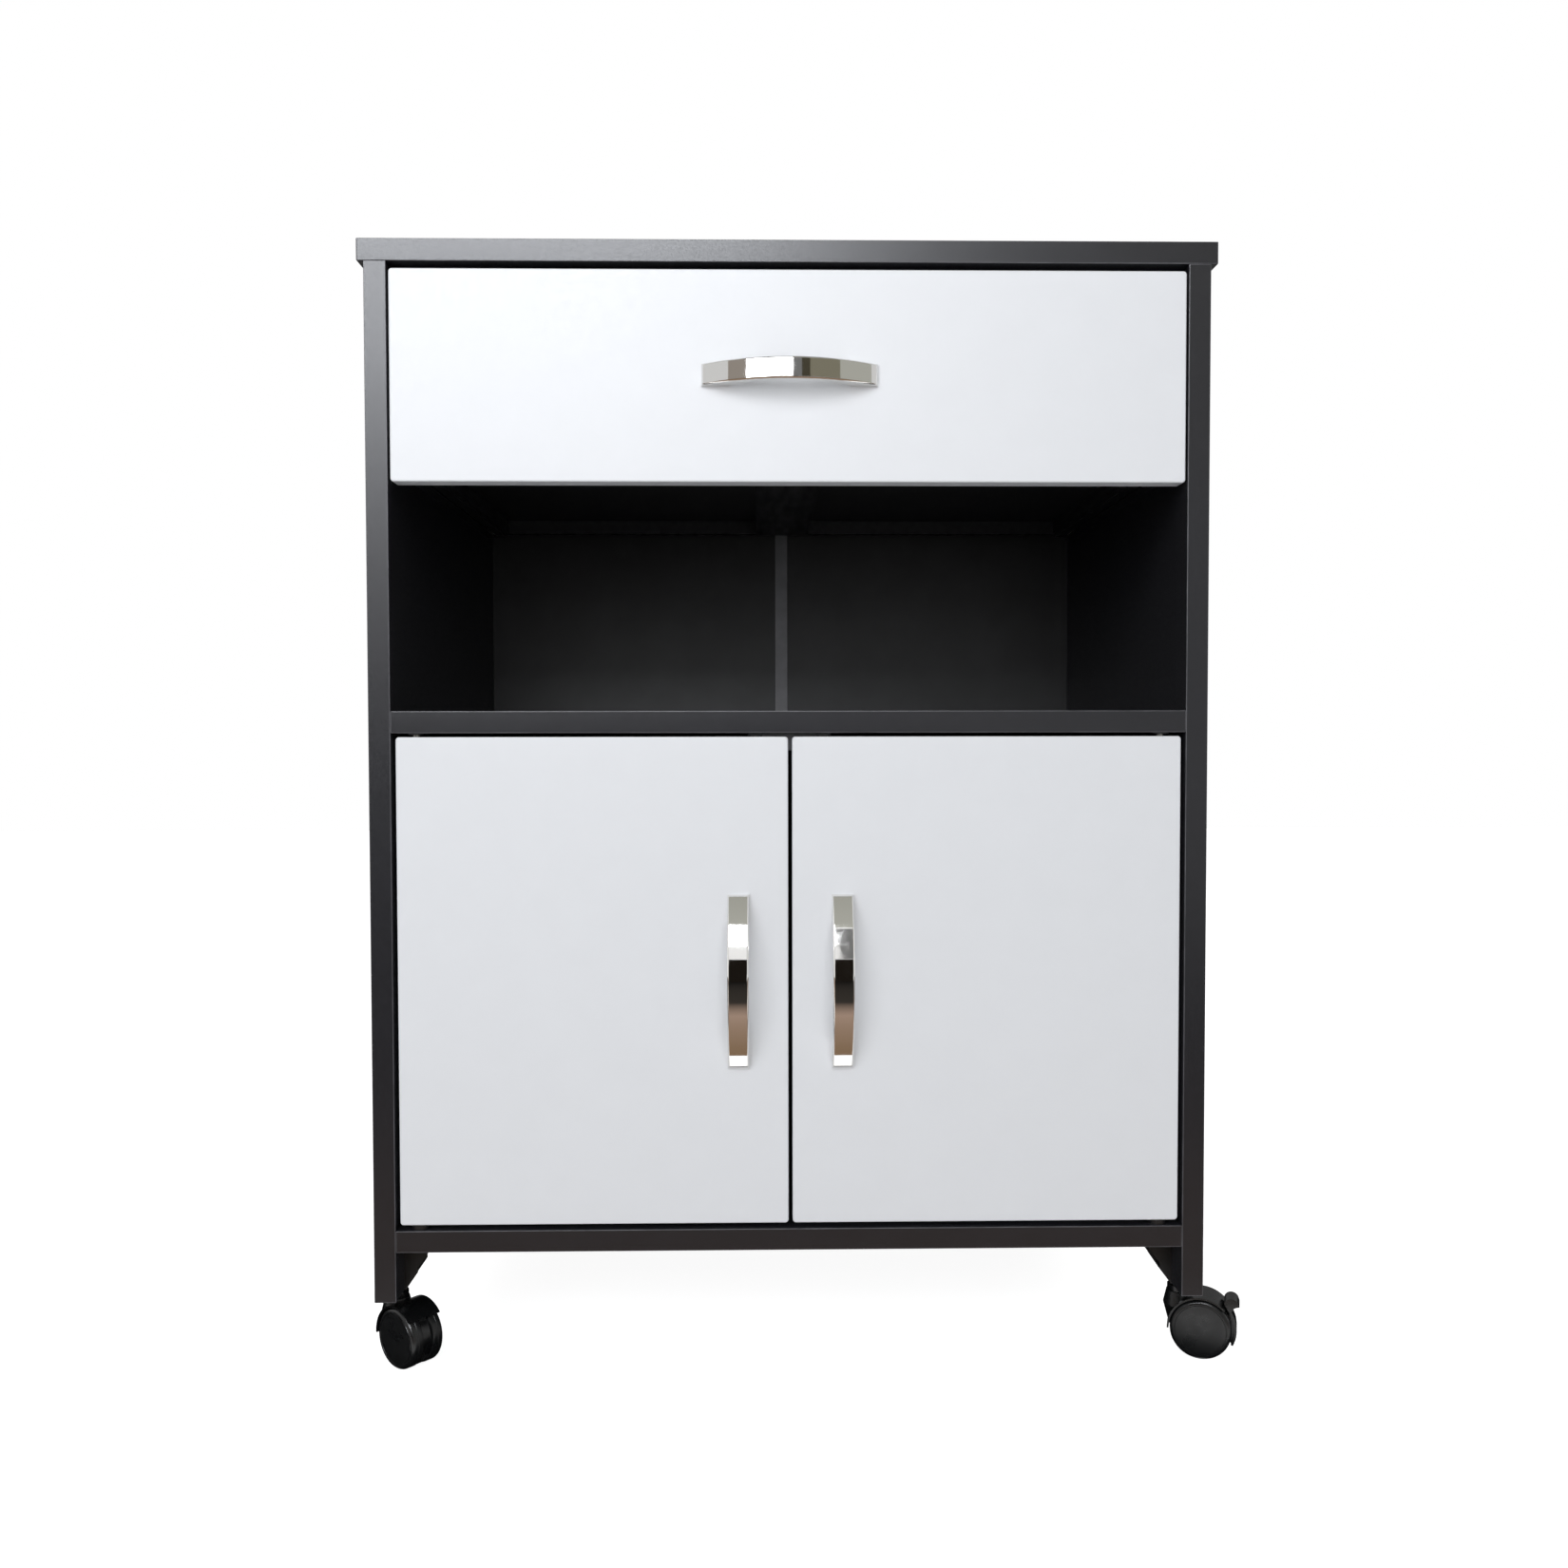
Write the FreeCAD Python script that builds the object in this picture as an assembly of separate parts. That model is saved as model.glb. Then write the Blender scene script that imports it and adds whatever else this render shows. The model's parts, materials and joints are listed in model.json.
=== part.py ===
import FreeCAD, Part
import math
import os
from FreeCAD import Rotation, Vector

# Microwave stand on casters: a melamine carcass with a drawer, an open bay and a two-door
# cupboard. Millimetres, +Z up, front faces -Y, origin on the floor under the middle of the
# whole stand, handles included.

# ---- boards of the carcass
board = 16.0                # melamine-faced chipboard
carcass_width = 610.0       # over the two side panels
carcass_depth = 400.0
top_overhang = 5.0          # top past each side panel
bay_clear_height = 322.0    # underside of the top to the middle shelf
cupboard_height = 364.0     # between the middle shelf and the bottom panel
foot_height = 37.0          # side panels run on below the bottom panel
arris = 0.4                 # broken edge of the edge banding
back_thickness = 3.0        # hardboard
back_cover = 8.0            # how far the back laps the top's rear edge
shelf_short = 2.0           # the middle shelf stops short of the back panels
strip_flange = 12.0         # H-section strip that joins the two back panels
strip_wall = 1.0

# ---- corner gussets that stiffen the feet
gusset_width = 24.0
gusset_depth = 34.0
gusset_setback = 25.0       # front plane of the carcass to the gusset
gusset_wall = 3.0
gusset_toe = 0.8            # what is left of it at its lower end
gusset_step = 3.4           # upright step in the sloping edge
gusset_step_share = 0.33    # of its height, to the step
gusset_side_screw = 0.4     # share of its height
gusset_top_screw = 0.6      # share of its width

# ---- drawer
drawer_front_height = 152.0
drawer_top_gap = 5.0
drawer_side_gap = 1.6
drawer_board = 12.0
drawer_box_height = 120.0
drawer_rear_gap = 34.0      # drawer box to the back panels
drawer_bottom_thickness = 3.0
groove_depth = 5.0
batten_width = 50.0
batten_thickness = 12.0
front_corner_radius = 2.5   # corners of the white fronts
front_edge_radius = 0.8

# ---- roller runners
runner_gap = 12.5           # drawer box to side panel
runner_sheet = 1.2
runner_front = 20.0         # carcass front to the runner
runner_rear_gap = 30.0      # runner to the back panels
runner_lip = 8.6            # width of the tracks
runner_foot = 8.0           # flange under the drawer side, web included
runner_drop = 161.0         # top of the stand to the underside of the channel
roller_radius = 9.0
roller_width = 6.4
roller_bore_gap = 0.15      # radial, roller to its rivet
roller_edge = 0.6           # broken edges of the tread
roller_groove = 0.5         # depth of the groove round the tread
roller_side_gap = 0.6       # runner to roller, and roller to rivet head
roller_end_gap = 3.6        # roller to the track that stops short of it
roller_running_gap = 0.4
roller_head_room = 2.2
roller_front_offset = 10.0  # end of a runner to its roller's axis
rivet_radius = 2.2
rivet_head_radius = 3.4
rivet_head = 0.6
bore_clearance = 0.05       # radial, of everything that turns on a pin

# ---- doors
door_side_gap = 3.4
door_middle_gap = 3.0
door_top_gap = 2.7
door_bottom_gap = 4.2
pivot_inset = 13.5          # hinge edge to pivot pin
pivot_radius = 2.5
pivot_in_door = 14.0
pivot_in_bush = 8.0
bush_radius = 4.5
bush_depth = 10.0
bush_flange_radius = 6.5
bush_flange = 1.2
bush_end_gap = 1.0          # pin's end to the bush's floor
door_seat_gap = 0.3         # door to the bush it stands on

# ---- magnetic catch
catch_width = 40.0
catch_depth = 13.0
catch_height = 13.0
catch_ear = 11.0
catch_ear_thickness = 2.0
catch_corner = 1.5
catch_ear_corner = 3.0
catch_ear_front = 2.0       # front of the body to the ears
catch_ear_back = 1.0
catch_gap = 1.8             # doors' backs to the catch body
magnet_width = 14.0
magnet_height = 5.0
magnet_inset = 4.0          # middle of the catch to a magnet
magnet_depth = 9.0
magnet_air_gap = 0.3
strike_width = 26.0
strike_height = 12.0
strike_thickness = 1.0
strike_inset = 3.0          # door's free edge to the strike plate
strike_drop = 1.5           # door's top edge to the strike plate
strike_corner = 2.0
strike_screw_inset = 4.0

# ---- bow handles
handle_length = 127.0
handle_projection = 25.0
handle_width = 15.5
handle_strap = 3.6          # thickness at the crown
handle_end = 3.2            # height of the end facets
handle_hole_spacing = 96.0
handle_foot = 19.0
handle_edge_radius = 1.1
handle_from_free_edge = 36.5
handle_hole_depth = 8.0

# ---- casters
caster_height = 55.0        # floor to the side panel's end
wheel_radius = 22.5
wheel_width = 9.6
wheel_gap = 8.2             # between the two wheels
wheel_edge = 3.0
wheel_dish = 1.2
wheel_ring = 1.6            # raised ring round the dished cap
wheel_ring_slope = 0.6
wheel_edge_break = 0.9
wheel_inner_break = 1.0
trail = 16.5                # swivel axis to axle
caster_setback = 34.0       # front or back of the carcass to the stem
axle_radius = 3.0
axle_in_wheel = 6.5
axle_end_gap = 0.3
stem_radius = 4.0
stem_length = 27.0
stem_shoulder_radius = 6.0
stem_shoulder = 1.4
stem_in_hood = 21.0
sleeve_radius = 5.2
sleeve_length = 29.0
sleeve_flange_radius = 7.5
sleeve_flange = 1.0
collar_radius = 8.6
collar_flare = 11.5
collar_step = 0.6           # bead round the collar's foot
collar_bead_drop = 5.0      # hood's top to the bead
collar_break = 0.8
flare_foot = 4.0            # narrowing of the flare down to the axle
fender_gap = 0.7
fender_wall = 1.3
fender_from = 44.0          # degrees about the axle, up from straight back
fender_to = 182.0
web_thickness = 7.2
web_radius = 20.5
swivel_gap = 0.3
lever_gap = 2.0             # tread to the lever's shoe at rest
lever_wall = 1.6
lever_low = -27.0           # degrees about the axle, the shoe's lower end
lever_high = 40.0
lever_width = 13.0
tongue_reach = 8.4          # tongue beyond the shoe
tongue_lift = 1.5           # hood's fender to the tongue over it
tongue_root_low = 30.0      # degrees about the axle, as all of the tongue's angles
tongue_root_high = 50.0
tongue_crown = 48.5
tongue_crown_rise = 2.2
tongue_tip_high = 39.0
tongue_tip_low = 33.5
tongue_hollow = 35.5
tongue_width = 16.0
lever_rib = 3.0
lever_slot_gap = 0.25
lever_pin_radius = 1.5
lever_pin_reach = 16.6      # axle to the lever's pin
lever_pin_angle = 2.0
lever_slot_low = -27.0      # degrees, lower end of the hood's slot for the lever's rib

# Direction in which each caster trails, in degrees about +Z from +X.
caster_turn = {
    "front_left": -41.0,
    "front_right": -19.0,
    "rear_left": 161.0,
    "rear_right": 233.0,
}
braked = ("front_right", "rear_left")

# ---- fasteners
confirmat = {"shank": 3.2, "length": 50.0, "head": 4.8, "head_height": 3.0}
wood_screw = {"shank": 1.7, "length": 12.0, "head": 3.4, "head_height": 0.8}
drawer_screw = {"shank": 2.0, "length": 35.0, "head": 3.8, "head_height": 2.4}
handle_screw = {"shank": 2.0, "length": board + handle_hole_depth, "head": 3.8, "head_height": 1.8}
nail = {"shank": 0.8, "length": 16.0, "head": 2.2, "head_height": 0.6}
fixing_inset = 50.0         # front or back of a board to its fittings
cap_radius = 6.0
cap_thickness = 0.8
cam_radius = 7.5
cam_from_edge = 34.0
cam_depth = 12.5
drawer_cam_depth = 10.0
cam_bolt_radius = 3.0
cam_bolt_thread = 11.0
nail_inset = 8.0            # edge of a board to the nails in it

# ---- levels and planes worked out from the sizes above
inner_half = carcass_width / 2 - board
outer_half = carcass_width / 2
side_bottom = caster_height
bottom_low = side_bottom + foot_height
bottom_high = bottom_low + board
shelf_low = bottom_high + cupboard_height
shelf_high = shelf_low + board
top_low = shelf_high + bay_clear_height
top_high = top_low + board
front_y = (handle_projection - carcass_depth - back_thickness - strip_wall) / 2
back_y = front_y + carcass_depth
behind_front = front_y + board
drawer_half = inner_half - runner_gap
drawer_inner_half = drawer_half - drawer_board
drawer_front_high = top_low - drawer_top_gap
drawer_front_low = drawer_front_high - drawer_front_height
channel_low = top_high - runner_drop
track_low = channel_low + runner_sheet
track_high = track_low + 2 * roller_radius + roller_head_room
drawer_roller_z = track_low + roller_running_gap + roller_radius
rail_flange_high = track_high - roller_head_room / 2
rail_flange_low = rail_flange_high - runner_sheet
cabinet_roller_z = rail_flange_low - roller_running_gap - roller_radius
runner_start = front_y + runner_front
runner_end = back_y - runner_rear_gap
cabinet_roller_y = runner_start + roller_front_offset
rail_back_y = back_y - drawer_rear_gap
drawer_length = rail_back_y - behind_front
drawer_roller_y = rail_back_y - roller_front_offset
drawer_low = channel_low + 2 * roller_running_gap + runner_sheet
drawer_high = drawer_low + drawer_box_height
drawer_floor = drawer_low + batten_thickness
rail_middle = (drawer_low + rail_flange_low) / 2
door_width = (2 * inner_half - 2 * door_side_gap - door_middle_gap) / 2
door_low = bottom_high + door_bottom_gap
door_high = shelf_low - door_top_gap
pivot_x = inner_half - door_side_gap - pivot_inset
pivot_y = front_y + board / 2
stem_x = inner_half + board / 2
wheel_inner = wheel_gap / 2
wheel_outer = wheel_inner + wheel_width
axle_z = wheel_radius
shoe_inner = wheel_radius + lever_gap
shoe_outer = shoe_inner + lever_wall

X, Y, Z = Vector(1, 0, 0), Vector(0, 1, 0), Vector(0, 0, 1)
parts = {}


# ---------------------------------------------------------------- helpers
def block(x0, x1, y0, y1, z0, z1):
    """A box between two corners."""
    low = Vector(min(x0, x1), min(y0, y1), min(z0, z1))
    return Part.makeBox(abs(x1 - x0), abs(y1 - y0), abs(z1 - z0), low)


def rod(start, axis, radius, length):
    return Part.makeCylinder(radius, length, start, axis)


def turned(points):
    """Revolve a closed outline of (radius, height) points about Z."""
    outline = Part.makePolygon([Vector(r, 0, h) for r, h in points + points[:1]])
    return Part.Face(outline).revolve(Vector(0, 0, 0), Z, 360)


def mirror_x(shape):
    return shape.mirror(Vector(0, 0, 0), X)


def group(solids):
    return Part.makeCompound(solids)


def edges_along(shape, axis, keep=lambda edge: True):
    """Straight edges parallel to axis that pass the test."""
    chosen = []
    for edge in shape.Edges:
        if not isinstance(edge.Curve, Part.Line):
            continue
        if abs(edge.tangentAt(edge.FirstParameter).dot(axis)) > 0.999 and keep(edge):
            chosen.append(edge)
    return chosen


def banded_board(x0, x1, y0, y1, z0, z1):
    """A board with the broken arris of its edge banding."""
    shape = block(x0, x1, y0, y1, z0, z1)
    return shape.makeChamfer(arris, shape.Edges)


def white_front(x0, x1, z0, z1):
    """A flush white front with small rounded corners and a softened front edge."""
    shape = block(x0, x1, front_y, behind_front, z0, z1)
    shape = shape.makeFillet(front_corner_radius, edges_along(shape, Y))
    rim = [e for e in shape.Edges if abs(e.BoundBox.YMax - front_y) < 1e-6]
    return shape.makeFillet(front_edge_radius, rim)


def screw(at, into, kind, flush=False):
    """A screw or nail whose head sits on the point at, or is sunk flush with it."""
    head_start = at if flush else at - into * kind["head_height"]
    if flush:
        head = Part.makeCone(kind["head"], kind["shank"], kind["head_height"], head_start, into)
    else:
        head = rod(head_start, into, kind["head"], kind["head_height"])
    tip = 2 * kind["shank"]
    shank = rod(at, into, kind["shank"], kind["length"] - tip)
    point = Part.makeCone(kind["shank"], kind["shank"] / 4, tip, at + into * (kind["length"] - tip), into)
    return head.fuse([shank, point]).removeSplitter()


def cut_by(shape, *tools):
    return shape.cut(list(tools))


# ---------------------------------------------------------------- fasteners of the carcass
def confirmats_and_caps():
    """Screws through the side panels into both shelves, each under a stick-on cap."""
    screws, caps = [], []
    for side in (-1, 1):
        for y in (front_y + fixing_inset, back_y - fixing_inset):
            for z in (shelf_low + board / 2, bottom_low + board / 2):
                at = Vector(side * outer_half, y, z)
                screws.append(screw(at, X * -side, confirmat, flush=True))
                caps.append(rod(at, X * side, cap_radius, cap_thickness))
    return screws, caps


def top_cams():
    """Cam nuts in the side panels and the bolts that they draw down from the top."""
    nuts, bolts = [], []
    for side in (-1, 1):
        for y in (front_y + fixing_inset, back_y - fixing_inset):
            low = Vector(side * stem_x, y, top_low - cam_from_edge)
            bolt = rod(low, Z, cam_bolt_radius, cam_from_edge + cam_bolt_thread)
            face = Vector(side * inner_half, y, low.z)
            nuts.append(rod(face, X * side, cam_radius, cam_depth).cut(bolt))
            bolts.append(bolt)
    return nuts, bolts


def nail_places():
    """Points on the back of the back panels where nails go into a board behind."""
    levels = [bottom_high + cupboard_height * k / 2 for k in (0.4, 1.0, 1.6)]
    levels += [shelf_high + bay_clear_height * k for k in (0.25, 0.75)]
    places = []
    for side in (-1, 1):
        places += [(side * (outer_half - nail_inset), z) for z in levels]
        for share in (0.25, 0.7):
            x = side * inner_half * share
            places += [(x, bottom_low + board / 2), (x, shelf_low + board / 2)]
            places.append((x, top_low + back_cover / 2))
    return places


def back_nails():
    behind = back_y + back_thickness
    return [screw(Vector(x, behind, z), -Y, nail) for x, z in nail_places()]


# ---------------------------------------------------------------- foot gussets
def gusset():
    """Moulded corner brace at the front right foot: two flanges and two pierced webs."""
    root, low = inner_half, side_bottom
    y0 = front_y + gusset_setback
    slope = (gusset_width - gusset_toe) / (foot_height - gusset_step)
    half = foot_height * gusset_step_share
    corners = [
        (root, low), (root, bottom_low), (root - gusset_width, bottom_low),
        (root - gusset_toe - slope * half, low + half + gusset_step),
        (root - gusset_toe - slope * half, low + half),
        (root - gusset_toe, low),
    ]
    outline = Part.makePolygon([Vector(x, y0, z) for x, z in corners + corners[:1]])
    body = Part.Face(outline).extrude(Y * gusset_depth)
    hollow = block(root - gusset_width, root - gusset_wall, y0 + gusset_wall,
                   y0 + gusset_depth - gusset_wall, low, bottom_low - gusset_wall)
    return body.cut(hollow)


def gusset_screws():
    """One screw into the side panel and one up into the bottom panel."""
    y = front_y + gusset_setback + gusset_depth / 2
    into_side = Vector(inner_half - gusset_wall, y, side_bottom + foot_height * gusset_side_screw)
    into_bottom = Vector(inner_half - gusset_width * gusset_top_screw, y, bottom_low - gusset_wall)
    return [screw(into_side, X, wood_screw), screw(into_bottom, Z, wood_screw)]


def at_four_feet(shape):
    """Copies of a front right piece at all four feet, mirrored across the stand."""
    middle = Vector(0, front_y + carcass_depth / 2, 0)
    right = [shape, shape.mirror(middle, Y)]
    return right + [mirror_x(piece) for piece in right]


# ---------------------------------------------------------------- runners
def rivet(at, into, reach):
    """The pin and head that hold a roller on a runner."""
    pin = rod(at, into, rivet_radius, reach)
    head = rod(at + into * (reach - rivet_head), into, rivet_head_radius, rivet_head)
    return pin.fuse(head)


def runner_channel():
    """Right-hand cabinet member: a C channel whose web goes on past its lower track."""
    wall = inner_half - runner_sheet
    y0, y1 = runner_start, runner_end
    track_start = cabinet_roller_y + roller_radius + roller_end_gap
    web = block(wall, inner_half, y0, y1, channel_low, track_high + runner_sheet)
    lower = block(wall - runner_lip, wall, track_start, y1, channel_low, track_low)
    upper = block(wall - runner_lip, wall, y0, y1, track_high, track_high + runner_sheet)
    pin_at = Vector(wall, cabinet_roller_y, cabinet_roller_z)
    pin = rivet(pin_at, -X, roller_width + 2 * roller_side_gap + rivet_head)
    return web.fuse([lower, upper, pin]).removeSplitter()


def drawer_rail():
    """Right-hand drawer member: foot under the side, web, and the flange that rolls."""
    face = drawer_half + runner_sheet
    foot_low = drawer_low - runner_sheet
    web = block(drawer_half, face, behind_front, rail_back_y, foot_low, rail_flange_high)
    foot = block(face - runner_foot, face, behind_front, rail_back_y, foot_low, drawer_low)
    flange_end = drawer_roller_y - roller_radius - roller_end_gap
    flange = block(face, face + runner_lip, behind_front, flange_end, rail_flange_low, rail_flange_high)
    pin_at = Vector(face, drawer_roller_y, drawer_roller_z)
    pin = rivet(pin_at, X, roller_width + 2 * roller_side_gap + rivet_head)
    return web.fuse([foot, flange, pin]).removeSplitter()


def roller(x_start, y, z):
    """Nylon roller with a grooved middle, on an axis along +X."""
    shoulder = roller_width / 4
    floor = roller_radius - roller_groove
    bore = rivet_radius + roller_bore_gap
    half = [
        (bore, 0), (roller_radius - roller_edge, 0), (roller_radius, roller_edge),
        (roller_radius, shoulder), (floor, shoulder + roller_groove),
    ]
    outline = half + [(r, roller_width - along) for r, along in reversed(half)]
    shape = turned(outline)
    shape.rotate(Vector(0, 0, 0), Y, 90)
    shape.translate(Vector(x_start, y, z))
    return shape


def runner_screws():
    """Three pan-head screws through the channel into the side panel."""
    x = inner_half - runner_sheet
    z = (track_low + track_high) / 2
    ys = [runner_start + (runner_end - runner_start) * share for share in (0.2, 0.55, 0.93)]
    return [screw(Vector(x, y, z), X, wood_screw) for y in ys]


# ---------------------------------------------------------------- handles
def bow_handle():
    """Flat strap bow along X, standing off the plane y = 0 towards -Y."""
    half = handle_length / 2
    inner = half - handle_foot
    outer_arc = Part.Arc(Vector(-half, -handle_end, 0), Vector(0, -handle_projection, 0),
                         Vector(half, -handle_end, 0))
    inner_arc = Part.Arc(Vector(inner, 0, 0), Vector(0, handle_strap - handle_projection, 0),
                         Vector(-inner, 0, 0))
    sides = [
        Part.LineSegment(Vector(half, -handle_end, 0), Vector(half, 0, 0)),
        Part.LineSegment(Vector(half, 0, 0), Vector(inner, 0, 0)),
        Part.LineSegment(Vector(-inner, 0, 0), Vector(-half, 0, 0)),
        Part.LineSegment(Vector(-half, 0, 0), Vector(-half, -handle_end, 0)),
    ]
    edges = [outer_arc, sides[0], sides[1], inner_arc, sides[2], sides[3]]
    face = Part.Face(Part.Wire([piece.toShape() for piece in edges]))
    shape = face.extrude(Z * handle_width)
    shape.translate(Z * (-handle_width / 2))
    crown = [e for e in shape.Edges if isinstance(e.Curve, Part.Circle)
             and e.BoundBox.YMin < handle_strap / 2 - handle_projection]
    shape = shape.makeFillet(handle_edge_radius, crown)
    holes = [rod(Vector(u, -handle_hole_depth, 0), Y, handle_screw["shank"], handle_hole_depth)
             for u in (-handle_hole_spacing / 2, handle_hole_spacing / 2)]
    return shape.cut(holes)


def bow_screws():
    """Machine screws that come through the front from behind, for the handle above."""
    return [screw(Vector(u, board, 0), -Y, handle_screw)
            for u in (-handle_hole_spacing / 2, handle_hole_spacing / 2)]


def set_on_front(shape, x, z, upright):
    """Place a handle or its screws on the front plane, along X or along Z."""
    if upright:
        shape.rotate(Vector(0, 0, 0), Y, 90)
    shape.translate(Vector(x, front_y, z))
    return shape


# ---------------------------------------------------------------- drawer
def drawer_box():
    """Box boards, hardboard bottom in its groove, and the batten under it."""
    y0, y1 = behind_front, rail_back_y
    rear = y1 - drawer_board
    bottom = block(-drawer_inner_half - groove_depth, drawer_inner_half + groove_depth,
                   y0 - groove_depth, rear + groove_depth,
                   drawer_floor, drawer_floor + drawer_bottom_thickness)
    side = block(drawer_inner_half, drawer_half, y0, y1, drawer_low, drawer_high)
    back = block(-drawer_inner_half, drawer_inner_half, rear, y1, drawer_low, drawer_high)
    front = white_front(-inner_half + drawer_side_gap, inner_half - drawer_side_gap,
                        drawer_front_low, drawer_front_high)
    batten = block(-batten_width / 2, batten_width / 2, y0, rear, drawer_low,
                   drawer_low + batten_thickness)
    levels = [drawer_low + drawer_box_height * share for share in (0.3, 0.8)]
    cams, bolts, screws = [], [], []
    for z in levels:
        x = (drawer_half + drawer_inner_half) / 2
        bolt = rod(Vector(x, y0 - cam_bolt_thread, z), Y, cam_bolt_radius, cam_from_edge + cam_bolt_thread)
        nut = rod(Vector(drawer_inner_half, y0 + cam_from_edge, z), X, cam_radius, drawer_cam_depth)
        cams.append(nut.cut(bolt))
        bolts.append(bolt)
        screws.append(screw(Vector(drawer_half, y1 - drawer_board / 2, z), -X, drawer_screw, flush=True))
    for share in (0.25, 0.75):
        at = Vector(drawer_half + runner_sheet, y0 + drawer_length * share, rail_middle)
        screws.append(screw(at, -X, dict(wood_screw, length=drawer_board - 1.0)))
    cams += [mirror_x(piece) for piece in cams]
    bolts += [mirror_x(piece) for piece in bolts]
    screws += [mirror_x(piece) for piece in screws]
    screws.append(screw(Vector(0, y1, drawer_low + batten_thickness / 2), -Y, drawer_screw, flush=True))
    handle_z = (drawer_front_low + drawer_front_high) / 2
    handle = set_on_front(bow_handle(), 0, handle_z, upright=False)
    handle_screws = [set_on_front(piece, 0, handle_z, upright=False) for piece in bow_screws()]
    rail = drawer_rail()
    parts["drawer_front"] = cut_by(front, bottom, *(bolts + handle_screws))
    parts["drawer_side_right"] = cut_by(side, bottom, *(cams + bolts + screws))
    parts["drawer_side_left"] = cut_by(mirror_x(side), bottom, *(cams + bolts + screws))
    parts["drawer_back"] = cut_by(back, bottom, *screws)
    parts["drawer_bottom"] = bottom
    parts["drawer_batten"] = cut_by(batten, *screws)
    parts["drawer_handle"] = handle
    parts["drawer_rail_right"] = cut_by(rail, *screws)
    parts["drawer_rail_left"] = cut_by(mirror_x(rail), *screws)
    parts["drawer_screws"] = group(screws + handle_screws)
    parts["drawer_cam_fittings"] = group(cams + bolts)
    start = drawer_half + runner_sheet + roller_side_gap
    wheel = roller(start, drawer_roller_y, drawer_roller_z)
    parts["drawer_roller_right"] = wheel
    parts["drawer_roller_left"] = mirror_x(wheel)


# ---------------------------------------------------------------- doors
def pivot_bushes():
    """Right-hand bushes in the shelf above and the bottom panel below the door."""
    bore = pivot_radius + bore_clearance
    deep = pivot_in_bush + bush_end_gap
    upper = [(bore, -bush_flange), (bush_flange_radius, -bush_flange), (bush_flange_radius, 0),
             (bush_radius, 0), (bush_radius, bush_depth), (0, bush_depth), (0, deep), (bore, deep)]
    seat = door_bottom_gap - door_seat_gap
    lower = [(bore, seat), (bush_flange_radius, seat), (bush_flange_radius, 0),
             (bush_radius, 0), (bush_radius, -bush_depth), (0, -bush_depth), (0, -deep), (bore, -deep)]
    shapes = []
    for outline, z in ((upper, shelf_low), (lower, bottom_high)):
        shape = turned(outline)
        shape.translate(Vector(pivot_x, pivot_y, z))
        shapes.append(shape)
    return shapes


def pivot_pins():
    """Right-hand pins, pressed into the door's two ends."""
    top = rod(Vector(pivot_x, pivot_y, door_high - pivot_in_door), Z, pivot_radius,
              pivot_in_door + door_top_gap + pivot_in_bush)
    low = rod(Vector(pivot_x, pivot_y, bottom_high - pivot_in_bush), Z, pivot_radius,
              pivot_in_bush + door_bottom_gap + pivot_in_door)
    return [top, low]


def strike():
    """Right-hand strike plate on the back of the door, at its free upper corner."""
    x0 = door_middle_gap / 2 + strike_inset
    z1 = door_high - strike_drop
    plate = block(x0, x0 + strike_width, behind_front, behind_front + strike_thickness,
                  z1 - strike_height, z1)
    return plate.makeFillet(strike_corner, edges_along(plate, Y))


def doors():
    """The right-hand door and its hardware, and the same mirrored on the left."""
    free_edge = door_middle_gap / 2
    panel = white_front(free_edge, free_edge + door_width, door_low, door_high)
    handle_x = free_edge + handle_from_free_edge
    handle_z = (door_low + door_high) / 2
    handle = set_on_front(bow_handle(), handle_x, handle_z, upright=True)
    screws = [set_on_front(piece, handle_x, handle_z, upright=True) for piece in bow_screws()]
    plate = strike()
    box = plate.BoundBox
    at = Vector(box.XMax - strike_screw_inset, behind_front + strike_thickness, box.Center.z)
    screws.append(screw(at, -Y, dict(wood_screw, head_height=strike_thickness), flush=True))
    pins = pivot_pins()
    made = {
        "door_{}": cut_by(panel, *(screws + pins)),
        "door_handle_{}": handle,
        "door_screws_{}": group(screws),
        "door_pivot_pins_{}": group(pins),
        "door_strike_{}": cut_by(plate, *screws),
    }
    for name, shape in made.items():
        parts[name.format("right")] = shape
        parts[name.format("left")] = mirror_x(shape)


def catch():
    """Double magnetic catch under the middle shelf, its screws and its two magnets."""
    y0 = behind_front + catch_gap + strike_thickness
    y1 = y0 + catch_depth
    half = catch_width / 2
    body = block(-half, half, y0, y1, shelf_low - catch_height, shelf_low)
    body = body.makeFillet(catch_corner, edges_along(body, Z))
    ears = block(-half - catch_ear, half + catch_ear, y0 + catch_ear_front, y1 - catch_ear_back,
                 shelf_low - catch_ear_thickness, shelf_low)
    ears = ears.makeFillet(catch_ear_corner, edges_along(ears, Z))
    screws = [screw(Vector(side * (half + catch_ear / 2), (y0 + y1) / 2,
                           shelf_low - catch_ear_thickness), Z, wood_screw) for side in (-1, 1)]
    z = shelf_low - door_top_gap - strike_drop - strike_height / 2
    face = behind_front + strike_thickness + magnet_air_gap
    magnets = [block(side * magnet_inset, side * (magnet_inset + magnet_width), face,
                     face + magnet_depth, z - magnet_height / 2, z + magnet_height / 2)
               for side in (-1, 1)]
    parts["catch_body"] = body.fuse(ears).removeSplitter().cut(screws + magnets)
    parts["catch_magnets"] = group(magnets)
    return screws


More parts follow.
